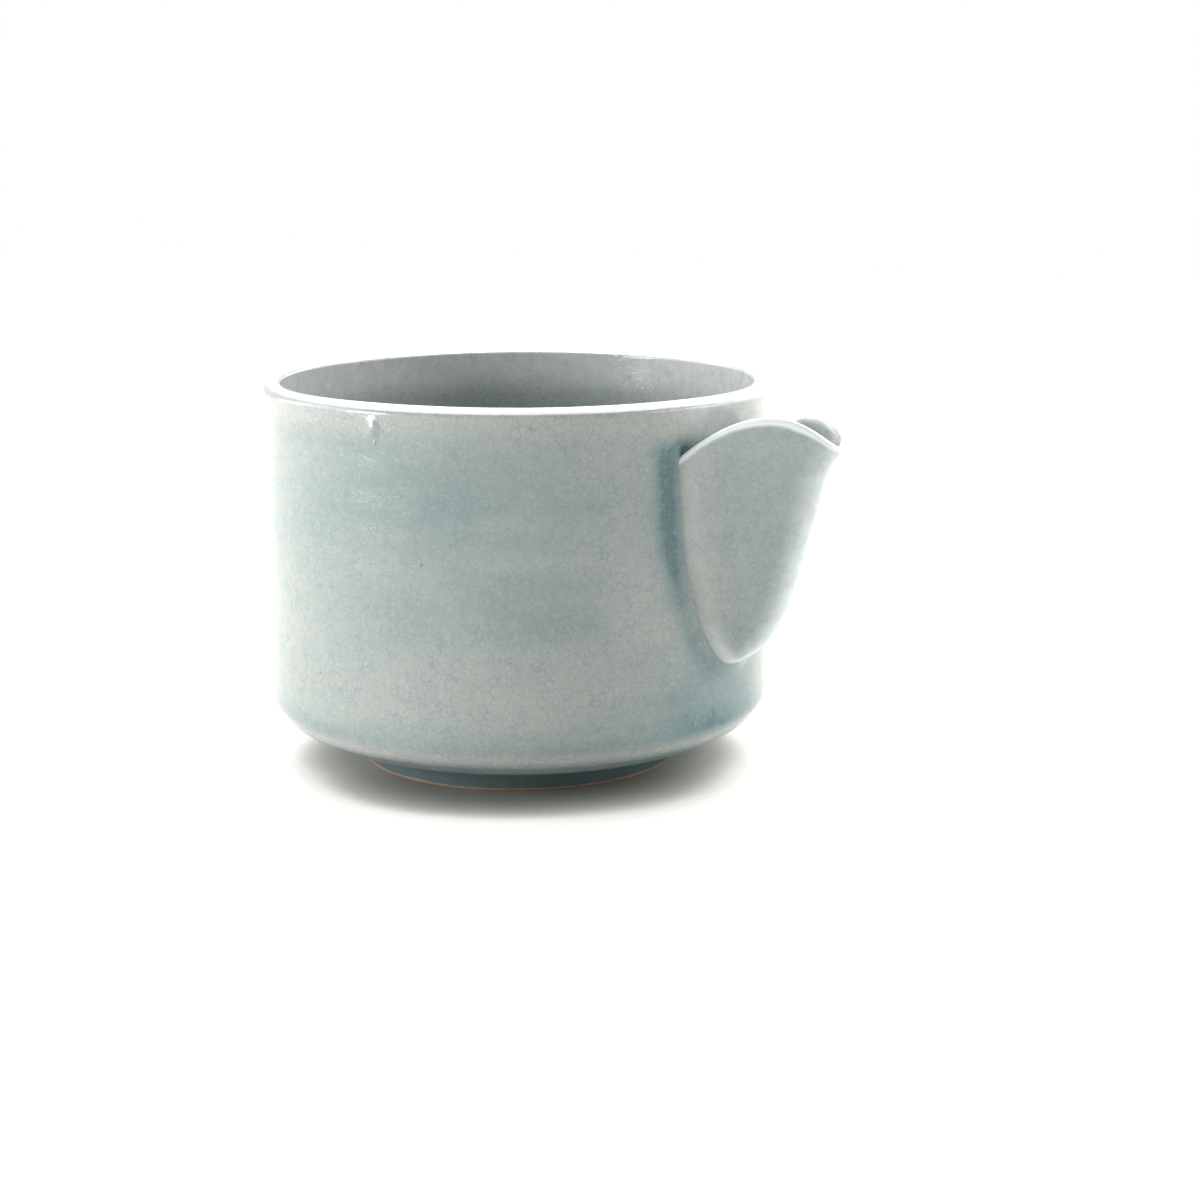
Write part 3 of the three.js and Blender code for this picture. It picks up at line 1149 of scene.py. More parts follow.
@dataclass(frozen=True)
class BodyGlaze:
    """The glaze on the thrown body: how deep it lies, and where it breaks pale, with painted shade
    and painted light in both.
    """

    wall: WallGlaze = WallGlaze()
    skin: float = 1.2 * MM
    under_height: float = 9.3 * MM
    corner_height: float = 12.5 * MM
    corner_width: float = 3.2 * MM
    inside: float = 0.50
    inside_low: Fade = Fade(62, 20, 0.20)
    # The inside is paler towards the rim: thinner glaze, and painted light from above.
    inside_rim: Fade = Fade(63, 72, -0.40)
    rim_starts: float = 74.6 * MM
    broken_rim: Fade = Fade(74.6, 75.2, 0.50)
    broken_inside: float = 0.17
    # Paler towards the rim inside: thinner glaze, and painted light from above.
    broken_and_lit_inside_rim: Fade = Fade(66, 72, 0.15)
    # Painted light: the wall behind the spout's lip is painted paler, where the spout shades it.
    painted_pale_behind_lip: Fade = Fade(66, 70, 0.40)
    painted_light_behind_lip_turn: tuple[float, float] = (24, 12)


@dataclass
class ThrownBody:
    """The thrown bowl: base, wall and rim, pierced behind the spout."""

    form: BowlForm
    spout: SpoutForm
    turns: int = 256
    hole_radius: float = 10 * MM
    hole_height: float = 51 * MM
    hole_softening: float = 0.9 * MM
    hole_share: float = 0.92
    ring_depths: tuple[float, ...] = (
        -3.0, -0.4, 0.0, 0.25, 0.55, 0.9, 1.7, 2.5, 2.85, 3.15, 3.4, 3.8, 6.0,
    )
    finish: BodyGlaze = BodyGlaze()

    def profile(self) -> list[tuple[float, float]]:
        """Draws the body's profile from under the foot up to the rim and down to the floor.

        Returns:
            Radius and height of each point in order.
        """
        f = self.form
        land = f.foot_radius + f.foot_flare
        shoulder = f.height - f.rim_fall
        crest = f.rim_radius - f.rim_crest_in
        inner = f.rim_radius - f.wall
        return Clay.with_round_corners(
            [
                (0, f.foot_height, 0),
                (land, f.foot_height, 0),
                *f.base_sweep,
                (f.rim_radius, shoulder, 0.8 * MM),
                (crest, f.height, 0.9 * MM),
                (inner, f.height - 0.25 * MM, 0.45 * MM),
                (inner, f.floor_height, f.inner_corner),
                (0, f.floor_height, 0),
            ]
        )

    def build(self) -> bpy.types.Object:
        """Throws the body, draws in its neck and pierces it.

        Returns:
            The finished piece.
        """
        piece = Clay.thrown("thrown_body", self.profile(), self.form.axis_x, self.turns)
        self.model(piece)
        self.pierce(piece)
        Clay.smooth(piece)
        self.glaze(piece)
        return piece

    def model(self, piece: bpy.types.Object) -> None:
        """Draws in the neck and leaves the marks of throwing on wall and floor.

        Args:
            piece: The piece.
        """
        f = self.form
        x, y, z, radius, angle = Clay.round_axis(piece, f.axis_x)
        wall = eased(radius, 36 * MM, 44 * MM) * eased(z, 6 * MM, 12 * MM)
        less = wall * (f.drawn_in(z) + f.unevenness(angle, z))
        scale = (radius - less) / np.maximum(radius, 1e-9)
        above = z - f.floor_height
        floor = (radius < 44 * MM) & (above > -0.1 * MM) & (above < 8 * MM)
        spiral = 0.10 * np.sin(math.tau * radius / (7 * MM) - angle)
        spiral *= eased(radius, 40 * MM, 30 * MM) * eased(radius, 2 * MM, 8 * MM)
        up = np.where(floor, spiral, 0)
        dips = 0.09 * (1 + np.sin(2 * angle + 1.1)) + 0.05 * (1 + np.sin(5 * angle))
        up -= eased(z, 70 * MM, 75 * MM) * dips
        Clay.put(piece, np.stack([f.axis_x + x * scale, y * scale, z + up * MM], 1))

    def pierce(self, piece: bpy.types.Object) -> None:
        """Cuts the pour hole with a plug that follows the wall and softens both its edges.

        Args:
            piece: The piece.
        """
        f = self.form
        Clay.drop_selection()
        bpy.ops.mesh.primitive_circle_add(
            vertices=96, radius=self.hole_radius, fill_type="NGON", location=(0, 0, 0),
            rotation=(0, math.pi / 2, 0),
        )
        plug = bpy.context.object
        bpy.ops.object.transform_apply(location=True, rotation=True, scale=True)
        Clay.mode("EDIT")
        bpy.ops.mesh.select_all(action="SELECT")
        for _ in self.ring_depths[1:]:
            bpy.ops.mesh.extrude_region_move(TRANSFORM_OT_translate={"value": (-1 * MM, 0, 0)})
        Clay.mode("OBJECT")
        x, y, z = Clay.places(plug).T
        depth = np.array(self.ring_depths)[np.rint(-x / MM).astype(int)] * MM
        edge = self.hole_softening
        near = np.minimum(np.abs(depth), np.abs(f.wall - depth))
        inside = (depth > 0) & (depth < f.wall)
        share = np.where(inside, 1 - np.minimum(near / edge, 1), 1.0) * self.hole_share
        grown = edge * (1 - np.sqrt(1 - share**2))
        spoke = np.arctan2(z, y)
        radius = np.where(np.hypot(y, z) > 1e-6, self.hole_radius + grown, 0)
        y = radius * np.cos(spoke)
        z = self.hole_height + radius * np.sin(spoke)
        outer = f.wall_radius(y / f.rim_radius, z)
        Clay.put(plug, np.stack([f.axis_x + np.sqrt(outer**2 - y**2) - depth, y, z], 1))
        Clay.close_and_turn_out(plug)
        Clay.take(piece)
        cut = piece.modifiers.new("pour_hole", "BOOLEAN")
        cut.operation = "DIFFERENCE"
        cut.solver = "EXACT"
        cut.object = plug
        bpy.ops.object.modifier_apply(modifier=cut.name)
        bpy.data.objects.remove(plug)

    def glaze(self, piece: bpy.types.Object) -> None:
        """Writes how deep the glaze lies, and where it breaks, on the body, with the painted shade
        and painted light that go into both.

        Args:
            piece: The piece.
        """
        f, finish = self.form, self.finish
        _, _, z, radius, angle = Clay.round_axis(piece, f.axis_x)
        outside = radius > f.wall_radius(angle, z) - finish.skin
        corner = (z < finish.corner_height) & (radius > f.rim_radius - finish.corner_width)
        under = (z < finish.under_height) | corner
        # The wall's depth holds painted shade under the base and in the seam, and painted light
        # behind the lip.
        on_wall = finish.wall.depth(angle, z) + self.spout.pooled(angle, z)
        within = finish.inside + finish.inside_low.at(z) + finish.inside_rim.at(z)
        depth = np.where(outside | under, on_wall, within)
        below_rim = z < finish.rim_starts
        crest = f.rim_radius - f.rim_crest_in
        broken_and_lit = finish.broken_rim.at(z)
        broken_and_lit *= 1 - 0.5 * eased(radius, crest - 0.2 * MM, crest - 1.4 * MM)
        inside = ~outside & ~under & below_rim
        # The inside pales towards the rim, partly painted light from above.
        broken_and_lit += inside * (finish.broken_inside + finish.broken_and_lit_inside_rim.at(z))
        # Painted light on the wall behind the spout's lip.
        painted_light_behind_lip = eased(np.degrees(np.abs(angle)), *finish.painted_light_behind_lip_turn)
        broken_and_lit += outside * below_rim * finish.painted_pale_behind_lip.at(z) * painted_light_behind_lip
        Clay.stain(piece, Stain.DEPTH, depth)
        Clay.stain(piece, Stain.BREAK, broken_and_lit)


@dataclass
class FootRing:
    """The turned foot ring that the bowl stands on."""

    form: BowlForm
    turns: int = 256
    edge: float = 0.55 * MM
    rise: float = 0.9 * MM

    def build(self) -> bpy.types.Object:
        """Turns the ring.

        Returns:
            The finished piece.
        """
        f = self.form
        inner = f.foot_radius - f.foot_width
        outer_top, inner_top = f.foot_radius + f.foot_flare, inner - f.foot_flare
        joint, top = f.foot_height + 0.02 * MM, f.foot_height + self.rise
        profile = Clay.with_round_corners(
            [
                (inner + 2 * MM, 0, 0),
                (f.foot_radius, 0, self.edge),
                (f.foot_radius + 0.25 * MM, f.foot_height - 1.6 * MM, 2 * MM),
                (outer_top, joint, 0),
                (outer_top - 0.4 * MM, top, 0),
                (inner_top + 0.4 * MM, top, 0),
                (inner_top, joint, 0),
                (inner, self.edge * 1.6, 0.5 * MM),
                (inner + 0.2 * MM, 0, self.edge / 2),
                (inner + 2 * MM, 0, 0),
            ],
            step=0.6 * MM,
        )
        piece = Clay.thrown("turned_foot", profile, f.axis_x, self.turns)
        Clay.smooth(piece)
        return piece


@dataclass(frozen=True)
class SpoutGlaze:
    """The glaze on the spout: how deep it lies, and where it breaks pale, with painted light along
    the keel and on the rolled foot, and the seam's painted shade run onto the foot.
    """

    even: float = 0.50
    edge: Fade = Fade(3.6, 0.5, -0.20)
    lip: Fade = Fade(3.2, 0.8, -0.22)
    low_belt: Swell = Swell(33, 6, 0.05)
    # The seam's pool, pooled glaze and painted shade, runs onto the spout's foot.
    foot_pool_and_shade: Fade = Fade(1.6, 0.4, 0.55)
    inside: float = -0.12
    inside_low: Fade = Fade(68, 50, 0.50)
    broken_lip: float = 1.15
    lip_width: float = 2.0 * MM
    lip_fade: tuple[float, float] = (1.25, 0.45)
    lip_narrows: Fade = Fade(66, 71, -0.7 * MM)
    inside_lip: Fade = Fade(66, 71, 0.30)
    lost_inside: float = 0.7
    broken_flank: float = 0.21
    # Paler roll round the spout's foot: thin glaze, and painted light where the rounded edge
    # catches it, stronger low down.
    rolled: Swell = Swell(0, 1.4)
    off_wall: Fade = Fade(0.7, 1.3)
    rolled_high: float = 0.10
    rolled_low: Fade = Fade(40, 27, 0.26)
    # Painted light: the flank is painted paler towards the keel, where light rakes it.
    keel: Fade = Fade(6, 0.5, 0.40)
    keel_aside: float = 0.5 * MM


@dataclass
class Spout:
    """The applied spout: a shell of clay with a soft, rounded edge and a beak for a lip."""

    form: SpoutForm
    across: int = 14
    up: int = 11
    corner_share: float = 0.42
    lip_gathering: float = 0.25
    soft_edge: float = 1.9 * MM
    edge_rings: tuple[tuple[float, float], ...] = (
        (0.45 * MM, 0.75 * MM),
        (0.55 * MM, 0.2 * MM),
        (0.15 * MM, -1.6 * MM),
    )
    inner_sinking: float = 0.25 * MM
    lip_pull: float = 8 * MM
    lip_ends_over: float = 52 * MM
    face_depth: float = 1.1 * MM
    face_blend: float = 0.4 * MM
    face_side: float = 1.4 * MM
    finish: SpoutGlaze = SpoutGlaze()

    def place_on(self, a: float, b: float, inset: float) -> tuple[float, float]:
        """Places a point of the flank's net between the outline and the lip.

        Args:
            a: Share across, from 0 on the -Y side to 1 on the +Y side.
            b: Share up, from 0 at the outline's bottom to 1 at the lip.
            inset: How far inside the outer face the flank lies.

        Returns:
            Distance aside from the keel, and height.
        """
        form, corner = self.form, self.corner_share
        low = np.array(form.outline((2 * a - 1) * corner or 1e-6, inset))
        side = (2 * a - 1) * abs(2 * a - 1) ** self.lip_gathering
        high = np.array(form.lip_over(side, inset))
        edges = []
        for sign in (-1.0, 1.0):
            foot = np.array(form.outline(sign * corner, inset))
            head = np.array(form.lip_over(sign, inset))
            z = foot[1] + (head[1] - foot[1]) * b
            edges.append((np.array([sign * form.half(z, inset), z]), foot, head))
        (left, left_foot, left_head), (right, right_foot, right_head) = edges
        flat = (1 - b) * low + b * high + (1 - a) * left + a * right
        flat -= (1 - a) * (1 - b) * left_foot + a * (1 - b) * right_foot
        flat -= (1 - a) * b * left_head + a * b * right_head
        return float(flat[0]), float(flat[1])

    def sheet(self, which: Sheet) -> bpy.types.Object:
        """Lays a net over one face of the shell, with a border for its soft edge.

        Args:
            which: The face to make.

        Returns:
            The open sheet.
        """
        inset = self.form.roll + (0.0 if which is Sheet.OUTER else self.form.thickness)
        Clay.drop_selection()
        bpy.ops.mesh.primitive_grid_add(x_subdivisions=self.across, y_subdivisions=self.up, size=1)
        piece = bpy.context.object
        at = Clay.places(piece)
        for row in at:
            y, z = self.place_on(row[0] + 0.5, row[1] + 0.5, inset)
            row[:] = (self.form.bowl.axis_x + self.form.reach(y, z, inset), y, z)
        Clay.put(piece, at)
        Clay.take(piece)
        Clay.mode("EDIT")
        bpy.ops.mesh.select_all(action="SELECT")
        bpy.ops.mesh.inset(thickness=self.soft_edge, use_boundary=True, use_even_offset=True)
        Clay.mode("OBJECT")
        return piece

    def on_lip(self, piece: bpy.types.Object) -> np.ndarray:
        """Finds the open edges that run along the lip.

        Args:
            piece: The piece.

        Returns:
            Mask of its edges.
        """
        at = Clay.places(piece)
        axis = self.form.bowl.axis_x
        over = np.array([abs(z - self.form.lip_height(x - axis, y)) < 0.05 * MM for x, y, z in at])
        ends = Clay.edge_ends(piece)
        return Clay.open_edges(piece) & over[ends].all(axis=1)

    def build(self) -> bpy.types.Object:
        """Shapes the shell, joins its two faces over the lip and sets it into the wall.

        Returns:
            The finished piece.
        """
        outer, inner = self.sheet(Sheet.OUTER), self.sheet(Sheet.INNER)
        Clay.take(outer)
        inner.select_set(True)
        bpy.ops.object.join()
        piece = Clay.named("applied_spout")
        self.operate(piece, self.on_lip(piece), bpy.ops.mesh.bridge_edge_loops)
        for aside, out in self.edge_rings:
            self.operate(
                piece, Clay.open_edges(piece), bpy.ops.mesh.extrude_edges_move,
                TRANSFORM_OT_translate={"value": (0, 0, 0)},
            )
            self.work_down(piece, aside, out)
        border = Clay.open_edges(piece)
        at, ends = Clay.places(piece), Clay.edge_ends(piece)
        run = np.abs(at[ends[:, 0]] - at[ends[:, 1]])
        high = at[ends].mean(axis=1)[:, 2] > self.lip_ends_over
        across_lip = (run[:, 1] > run[:, 2]) & high
        self.operate(piece, border & ~across_lip, bpy.ops.mesh.bridge_edge_loops)
        Clay.close_and_turn_out(piece)
        Clay.take(piece)
        soft = piece.modifiers.new("soften", "SUBSURF")
        soft.levels = soft.render_levels = 3
        bpy.ops.object.modifier_apply(modifier=soft.name)
        Clay.smooth(piece, 180)
        self.glaze(piece)
        return piece

    def operate(
        self, piece: bpy.types.Object, chosen: np.ndarray, step: object, **options: object
    ) -> None:
        """Runs one edit-mode step on chosen edges.

        Args:
            piece: The piece.
            chosen: Mask of the edges to work on.
            step: The edit-mode operator.
            options: Settings of the operator.
        """
        Clay.take(piece)
        Clay.pick_edges(piece, chosen)
        Clay.mode("EDIT")
        bpy.ops.mesh.select_mode(type="EDGE")
        step(**options)
        bpy.ops.mesh.select_mode(type="VERT")
        Clay.mode("OBJECT")

    def work_down(self, piece: bpy.types.Object, aside: float, out: float) -> None:
        """Works the shell's open edge down and outwards, so that it rolls into the wall.

        Args:
            piece: The shell.
            aside: How much further out of the outline the outer face's edge goes.
            out: How far off the wall it ends.
        """
        form, bowl = self.form, self.form.bowl
        middle = form.roll + form.thickness / 2
        at = Clay.places(piece)
        for i in np.unique(Clay.edge_ends(piece)[Clay.open_edges(piece)]):
            x, y, z = at[i, 0] - bowl.axis_x, at[i, 1], at[i, 2]
            below = form.lip_height(x, y) - z
            outer = abs(y) > form.half(z, middle)
            if outer:
                way = form.outwards(y, z) * aside
                y, z = y + way.x, z + way.y
            radius = bowl.wall_radius_at(y / bowl.rim_radius, z)
            x = math.sqrt(radius**2 - y**2) + out if outer else x - self.inner_sinking
            pull = math.exp(-max(below, 0) / self.lip_pull)
            z += pull * (form.lip_height(x, y) - below - z)
            at[i] = (bowl.axis_x + x, y, z)
        Clay.put(piece, at)

    def glaze(self, piece: bpy.types.Object) -> None:
        """Writes how deep the glaze lies, and where it breaks, on the spout, with the painted light
        and shade that go into both.

        Args:
            piece: The piece.
        """
        form, finish = self.form, self.finish
        x, y, z, radius, angle = Clay.round_axis(piece, form.bowl.axis_x)
        off_wall = radius - form.bowl.wall_radius(angle, z)
        halves = np.array([form.half(height, form.roll) for height in z])
        reach = np.array([form.reach(a, b, form.roll) for a, b in zip(y, z)])
        below = np.array([form.lip_height(a, b) for a, b in zip(x, y)]) - z
        behind = np.clip((reach - x - self.face_depth) / self.face_blend, 0, 1)
        inside = behind * (np.abs(y) < halves - self.face_side)
        from_edge = np.abs(y) - halves
        depth = finish.even + finish.edge.at(np.abs(from_edge)) + finish.lip.at(below)
        # The seam's pool, pooled glaze and painted shade, runs onto the foot.
        depth += finish.low_belt.at(z) + form.pooled(angle, z) * finish.foot_pool_and_shade.at(off_wall)
        depth += inside * (finish.inside + finish.inside_low.at(z))
        share = below / (finish.lip_width + finish.lip_narrows.at(x))
        broken_and_lit = finish.broken_lip * eased(share, *finish.lip_fade)
        broken_and_lit *= 1 - finish.lost_inside * inside
        broken_and_lit += inside * finish.inside_lip.at(z)
        # Painted light on the roll, where the glaze is also thin, and along the keel.
        rolled = finish.rolled.at(from_edge) * finish.off_wall.at(off_wall)
        keel = finish.keel.at(np.abs(y + finish.keel_aside))
        outer = finish.broken_flank + rolled * (finish.rolled_high + finish.rolled_low.at(z)) + keel
        broken_and_lit += (1 - inside) * outer
        Clay.stain(piece, Stain.DEPTH, depth)
        Clay.stain(piece, Stain.BREAK, broken_and_lit)


@dataclass
class SeamFillet:
    """Clay worked into the seam round the spout, with the glaze pooled in its hollow and shade
    painted into it.
    """

    form: SpoutForm
    width: float = 3.6 * MM
    tucked: float = 0.35 * MM
    rise: float = 0.75 * MM
    taper: float = 7 * MM
    sunk: float = 0.06 * MM
    inner_side: float = -1.1 * MM
    underside: float = -0.9 * MM
    end_size: float = 0.55
    hollow_power: float = 2.2
    inner_rise: float = 0.8
    steps: int = 150
    hollow_steps: int = 9
    wall_glaze: WallGlaze = WallGlaze()

    def section(self, size: float) -> list[tuple[float, float]]:
        """Draws the fillet's section.

        Args:
            size: Share of its full size.

        Returns:
            Points as distance aside from the spout's edge and out from the wall.
        """
        width, rise = self.width * size + self.tucked, self.rise * size
        hollow = []
        for k in range(self.hollow_steps + 1):
            share = k / self.hollow_steps
            out = (rise + self.sunk) * share**self.hollow_power - self.sunk
            hollow.append((width * (1 - share) - self.tucked, out))
        below = [(self.inner_side, self.underside), (width - self.tucked, self.underside)]
        return [*below, *hollow, (self.inner_side, rise * self.inner_rise)]

    def build(self) -> bpy.types.Object:
        """Sweeps the section round the spout's outline.

        Returns:
            The finished piece.
        """
        bowl = self.form.bowl
        line = self.form.unrolled_outline()
        lengths = np.concatenate([[0], np.cumsum(np.hypot(*np.diff(line, axis=0).T))])
        stations = np.linspace(0, lengths[-1], self.steps + 1)
        path = np.stack([np.interp(stations, lengths, line[:, k]) for k in (0, 1)], 1)
        count = len(self.section(1.0))
        Clay.drop_selection()
        bpy.ops.mesh.primitive_circle_add(
            vertices=count, radius=1, fill_type="NGON", location=(0, 0, 0)
        )
        piece = Clay.named("seam_fillet")
        Clay.mode("EDIT")
        bpy.ops.mesh.select_all(action="SELECT")
        for _ in range(self.steps):
            bpy.ops.mesh.extrude_region_move(TRANSFORM_OT_translate={"value": (0, 0, 1)})
        Clay.mode("OBJECT")
        at = Clay.places(piece)
        station = np.rint(at[:, 2]).astype(int)
        corner = np.rint(np.arctan2(at[:, 1], at[:, 0]) / math.tau * count).astype(int) % count
        for i, (k, j) in enumerate(zip(station, corner)):
            before, after = path[max(k - 1, 0)], path[min(k + 1, self.steps)]
            way = (after - before) / np.hypot(*(after - before))
            end = min(stations[k], lengths[-1] - stations[k])
            grown = math.sin(math.pi / 2 * min(end / self.taper, 1))
            size = self.end_size + (1 - self.end_size) * grown
            aside, out = self.section(size)[j]
            along, z = path[k][0] + way[1] * aside, path[k][1] - way[0] * aside
            turn = along / bowl.rim_radius
            radius = bowl.wall_radius_at(turn, z) + out
            at[i] = (bowl.axis_x + radius * math.cos(turn), radius * math.sin(turn), z)
        Clay.put(piece, at)
        Clay.close_and_turn_out(piece)
        Clay.smooth(piece, 60)
        self.glaze(piece)
        return piece

    def glaze(self, piece: bpy.types.Object) -> None:
        """Writes the pooled glaze and painted shade on the fillet, to match the wall beside it.

        Args:
            piece: The piece.
        """
        _, _, z, _, angle = Clay.round_axis(piece, self.form.bowl.axis_x)
        depth = self.wall_glaze.depth(angle, z) + self.form.pooled(angle, z)
        Clay.stain(piece, Stain.DEPTH, depth)
        Clay.stain(piece, Stain.BREAK, np.zeros(len(z)))


@dataclass(frozen=True)
class PhotoCamera:
    """The camera at the photograph's viewing angle."""

    axis_x: float
    focal_pixels: float = 2438.0
    picture_pixels: float = 1200.0
    sensor: float = 36.0
    distance: float = 0.480
    height: float = 0.132
    pitch: float = math.radians(11.917)
    yaw: float = math.radians(1.90)
    turn: float = math.radians(35)
    tilt: float = math.radians(0.43)
    nearest: float = 0.01
    farthest: float = 20.0

    def build(self) -> bpy.types.Object:
        """Sets up the camera and makes it the scene's.

        Returns:
            The camera.
        """
        data = bpy.data.cameras.new("photo_camera")
        data.sensor_width = self.sensor
        data.lens = self.sensor * self.focal_pixels / self.picture_pixels
        data.clip_start, data.clip_end = self.nearest, self.farthest
        camera = bpy.data.objects.new("photo_camera", data)
        bpy.context.scene.collection.objects.link(camera)
        level = Vector((0, math.cos(self.pitch), -math.sin(self.pitch)))
        across = Vector((1, 0, 0))
        ahead = math.cos(self.yaw) * level + math.sin(self.yaw) * across
        right = math.cos(self.yaw) * across - math.sin(self.yaw) * level
        up = Vector((0, math.sin(self.pitch), math.cos(self.pitch)))
        stand = Vector((0, -self.distance, self.height))
        basis = Matrix((right, up, -ahead)).transposed().to_4x4()
        basis = basis @ Matrix.Rotation(-self.tilt, 4, "Z")
        placed = Matrix.Rotation(self.turn, 4, "Z") @ Matrix.Translation(stand) @ basis
        camera.matrix_world = Matrix.Translation((self.axis_x, 0, 0)) @ placed
        bpy.context.scene.camera = camera
        return camera


@dataclass(frozen=True)
class Softbox:
    """A soft lamp, aimed at the bowl."""

    name: str
    turn: float
    rise: float
    distance: float
    width: float
    tall: float
    watts: float

    def build(self, target: Vector) -> bpy.types.Object:
        """Hangs the lamp.

        Args:
            target: The point it faces.

        Returns:
            The lamp.
        """
        data = bpy.data.lights.new(self.name, "AREA")
        data.shape = "RECTANGLE"
        data.size = self.width
        data.size_y = self.tall
        data.energy = self.watts
        lamp = bpy.data.objects.new(self.name, data)
        lamp.visible_camera = False
        bpy.context.scene.collection.objects.link(lamp)
        turn, rise = math.radians(self.turn), math.radians(self.rise)
        level = math.cos(rise)
        way = Vector((math.cos(turn) * level, math.sin(turn) * level, math.sin(rise)))
        lamp.location = target + way * self.distance
        lamp.rotation_euler = (-way).to_track_quat("-Z", "Y").to_euler()
        return lamp


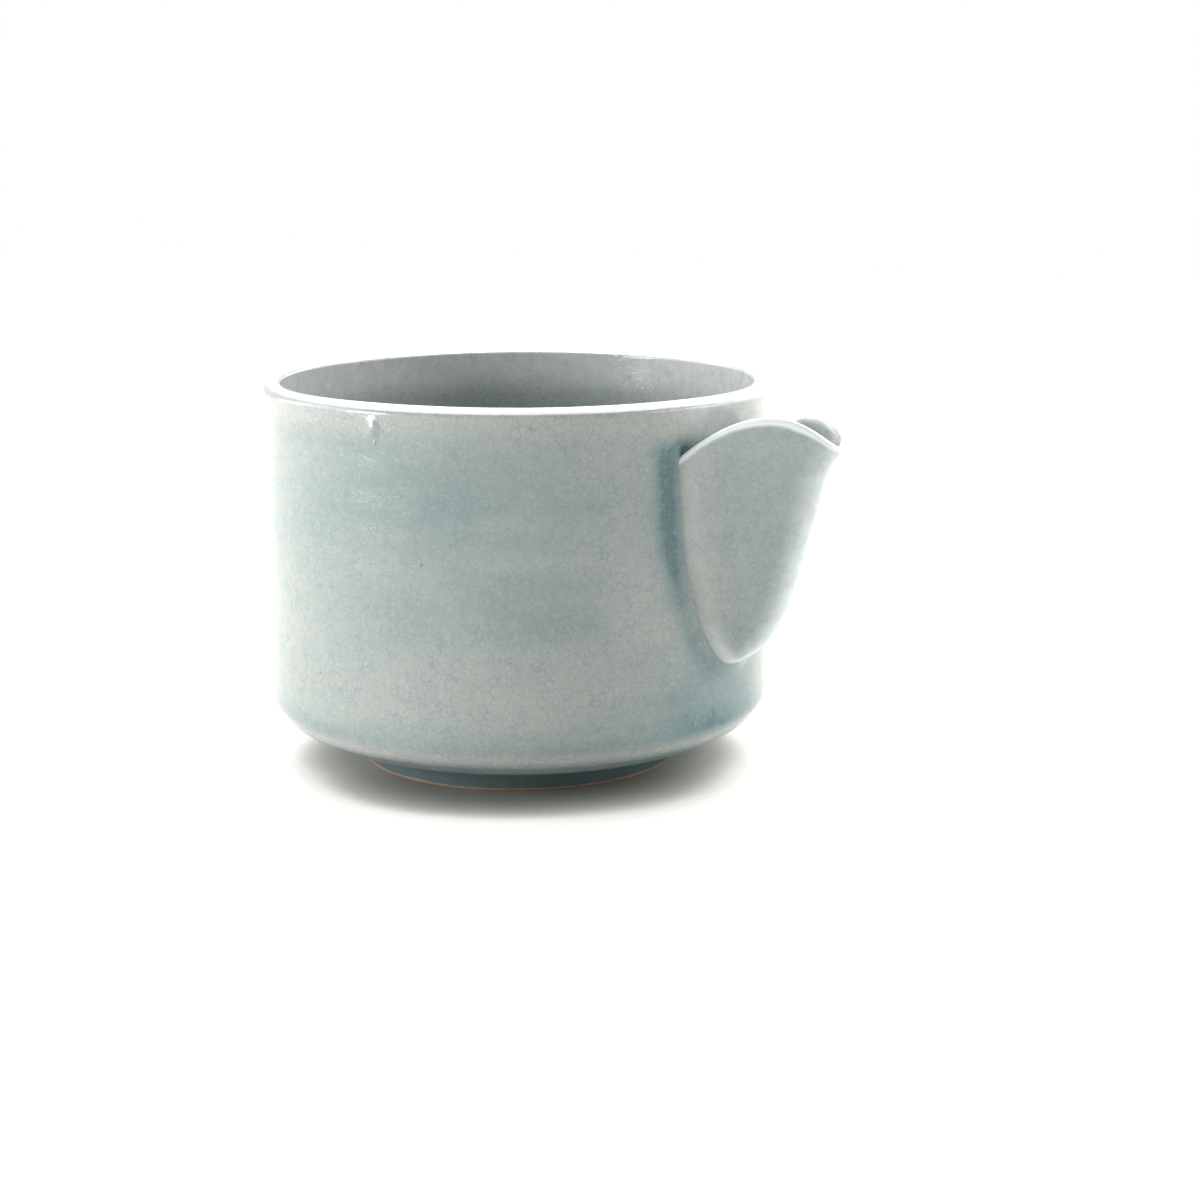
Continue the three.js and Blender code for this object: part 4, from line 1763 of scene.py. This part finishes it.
@dataclass(frozen=True)
class Studio:
    """The white floor with a painted shadow, the white surroundings and the lamps."""

    axis_x: float
    floor_size: float = 2.4
    dim_turn: float = -55.0
    dim_light: float = 0.31
    # The floor's painted shadow: ambient occlusion darkens the paper to the shadow colour and dims
    # its glow.
    shadow_reach: float = 0.06
    shadow_steps: tuple[float, float] = (0.42, 0.64)
    shade_steps: tuple[float, float] = (0.10, 0.55)
    shadow: tuple[int, int, int] = (140, 139, 132)
    open_paper: tuple[int, int, int] = (206, 204, 197)
    # How much lighter the painted shadow is at the sides.
    painted_side_light_share: float = 0.175
    paper_glow: float = 0.50
    lamps: tuple[Softbox, ...] = (
        Softbox("left_softbox", turn=-155, rise=24, distance=1.4, width=1.8, tall=1.2, watts=24.0),
        Softbox("right_softbox", turn=75, rise=24, distance=1.4, width=1.8, tall=1.2, watts=20.0),
        Softbox("near_softbox", turn=25, rise=24, distance=1.4, width=1.0, tall=1.0, watts=12.5),
        Softbox("back_softbox", turn=125, rise=52, distance=1.4, width=1.2, tall=1.2, watts=24.0),
        Softbox("small_window", turn=-122, rise=11, distance=0.9, width=0.30, tall=0.34, watts=5.6),
    )
    lamp_target: float = 0.04

    @property
    def dim_way(self) -> tuple[float, float, float]:
        """Gives the level direction from the bowl to the dim side of the studio."""
        turn = math.radians(self.dim_turn)
        return (math.cos(turn), math.sin(turn), 0.0)

    def build(self) -> bpy.types.Object:
        """Sets up the studio.

        Returns:
            The floor.
        """
        Clay.drop_selection()
        bpy.ops.mesh.primitive_plane_add(size=self.floor_size, location=(0, 0, 0))
        floor = bpy.context.object
        floor.name = "studio_floor"
        floor.data.materials.append(self.paper())
        self.surroundings()
        for lamp in self.lamps:
            lamp.build(Vector((self.axis_x, 0, self.lamp_target)))
        return floor

    def paper(self) -> bpy.types.Material:
        """Makes the floor's white paper, which looks white to the camera and keeps the shadow,
        darkened further by a painted shadow read from ambient occlusion.

        Returns:
            The finished material.
        """
        bench = Bench("white_paper")
        bench.fill(bench.shader, Roughness=0.9, Specular_IOR_Level=0.0)
        direct = bench.seen_directly()
        grain = bench.blend(bench.cloud(4 * MM), seen(228, 228, 226), seen(230, 230, 228))
        # Painted shadow: near the bowl the paper seen by the camera darkens and glows less.
        open_sky = bench.add("ShaderNodeAmbientOcclusion", samples=16)
        bench.fill(open_sky, Distance=self.shadow_reach)
        openness = bench.sum("ADD", open_sky.outputs["AO"], self.painted_side_light(bench))
        shaded = bench.between(openness, *self.shade_steps)
        shade = bench.blend(shaded, seen(*self.shadow), seen(*self.open_paper))
        bench.fill(bench.shader, Base_Color=bench.blend(direct, grain, shade))
        lit = bench.sum("MULTIPLY", bench.between(openness, *self.shadow_steps), self.paper_glow)
        glow = bench.add("ShaderNodeEmission")
        bench.fill(glow, Strength=bench.sum("MULTIPLY", direct, lit))
        both = bench.add("ShaderNodeAddShader")
        bench.feed(both.inputs[0], bench.shader.outputs[0])
        bench.feed(both.inputs[1], glow.outputs[0])
        bench.fill(bench.tree.nodes["Material Output"], Surface=both.outputs[0])
        return bench.material

    def painted_side_light(self, bench: Bench) -> bpy.types.NodeSocket:
        """Gives how much lighter the painted shadow is beside the bowl than before it, standing in
        for the lamps at the sides.

        Args:
            bench: Bench of the floor's material.

        Returns:
            Openness to add, 0 straight in front.
        """
        # Painted light: the painted shadow is lightened beside the bowl.
        way = bench.sum_of_ways("SUBTRACT", bench.place, (self.axis_x, 0.0, 0.0))
        way = bench.sum_of_ways("NORMALIZE", way)
        ahead = bench.sum_of_ways("DOT_PRODUCT", way, self.dim_way, "Value")
        return bench.between(bench.sum("ABSOLUTE", ahead), 0.35, 0.95, self.painted_side_light_share, 0.0)

    def surroundings(self) -> None:
        """Shows white all round, and lights the bowl dimly from the camera's side."""
        world = bpy.data.worlds.new("white_surroundings")
        bpy.context.scene.world = world
        world.use_nodes = True
        sky = Wiring(world.node_tree)
        way = sky.add("ShaderNodeTexCoord").outputs["Generated"]
        facing = sky.sum_of_ways("DOT_PRODUCT", way, self.dim_way, "Value")
        dim = sky.between(facing, 0.1, 0.95, 0.0, self.dim_light)
        plain = sky.seen_directly()
        unseen = sky.sum("MULTIPLY", dim, sky.sum("SUBTRACT", 1.0, plain))
        background = sky.tree.nodes["Background"]
        sky.fill(background, Color=(1, 1, 1, 1), Strength=sky.sum("ADD", unseen, plain))


def dress(piece: bpy.types.Object, finish: bpy.types.Material, slot: str, *nodes: str) -> None:
    """Gives a piece its finish and ties it to the frame.

    Args:
        piece: The piece.
        finish: Its material.
        slot: The record's material slot; not used.
        nodes: CAD nodes that it stands for.
    """
    piece.data.materials.clear()
    piece.data.materials.append(finish)
    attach(piece, "root")
    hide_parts(*nodes)
    LOG.info("%s: %d faces, stands for %s", piece.name, len(piece.data.polygons), ", ".join(nodes))


def main() -> None:
    """Builds the bowl, the camera and the studio."""
    logging.basicConfig(level=logging.INFO, format="%(message)s")
    low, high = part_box("foot_ring")
    bowl = BowlForm(axis_x=(low.x + high.x) / 2)
    spout = SpoutForm(bowl)
    celadon = CeladonGlaze(bowl)
    glaze = celadon.material()
    dress(ThrownBody(bowl, spout).build(), glaze, "celadon_glaze", "bowl_body")
    dress(FootRing(bowl).build(), FootFinish(celadon).material(), "bare_clay", "foot_ring")
    dress(Spout(spout).build(), glaze, "celadon_glaze", "spout")
    dress(SeamFillet(spout).build(), glaze, "pooled_glaze", "spout_seam")
    PhotoCamera(bowl.axis_x).build()
    Studio(bowl.axis_x).build()
    bpy.context.scene.view_settings.view_transform = "Standard"


if __name__ == "__main__":
    main()
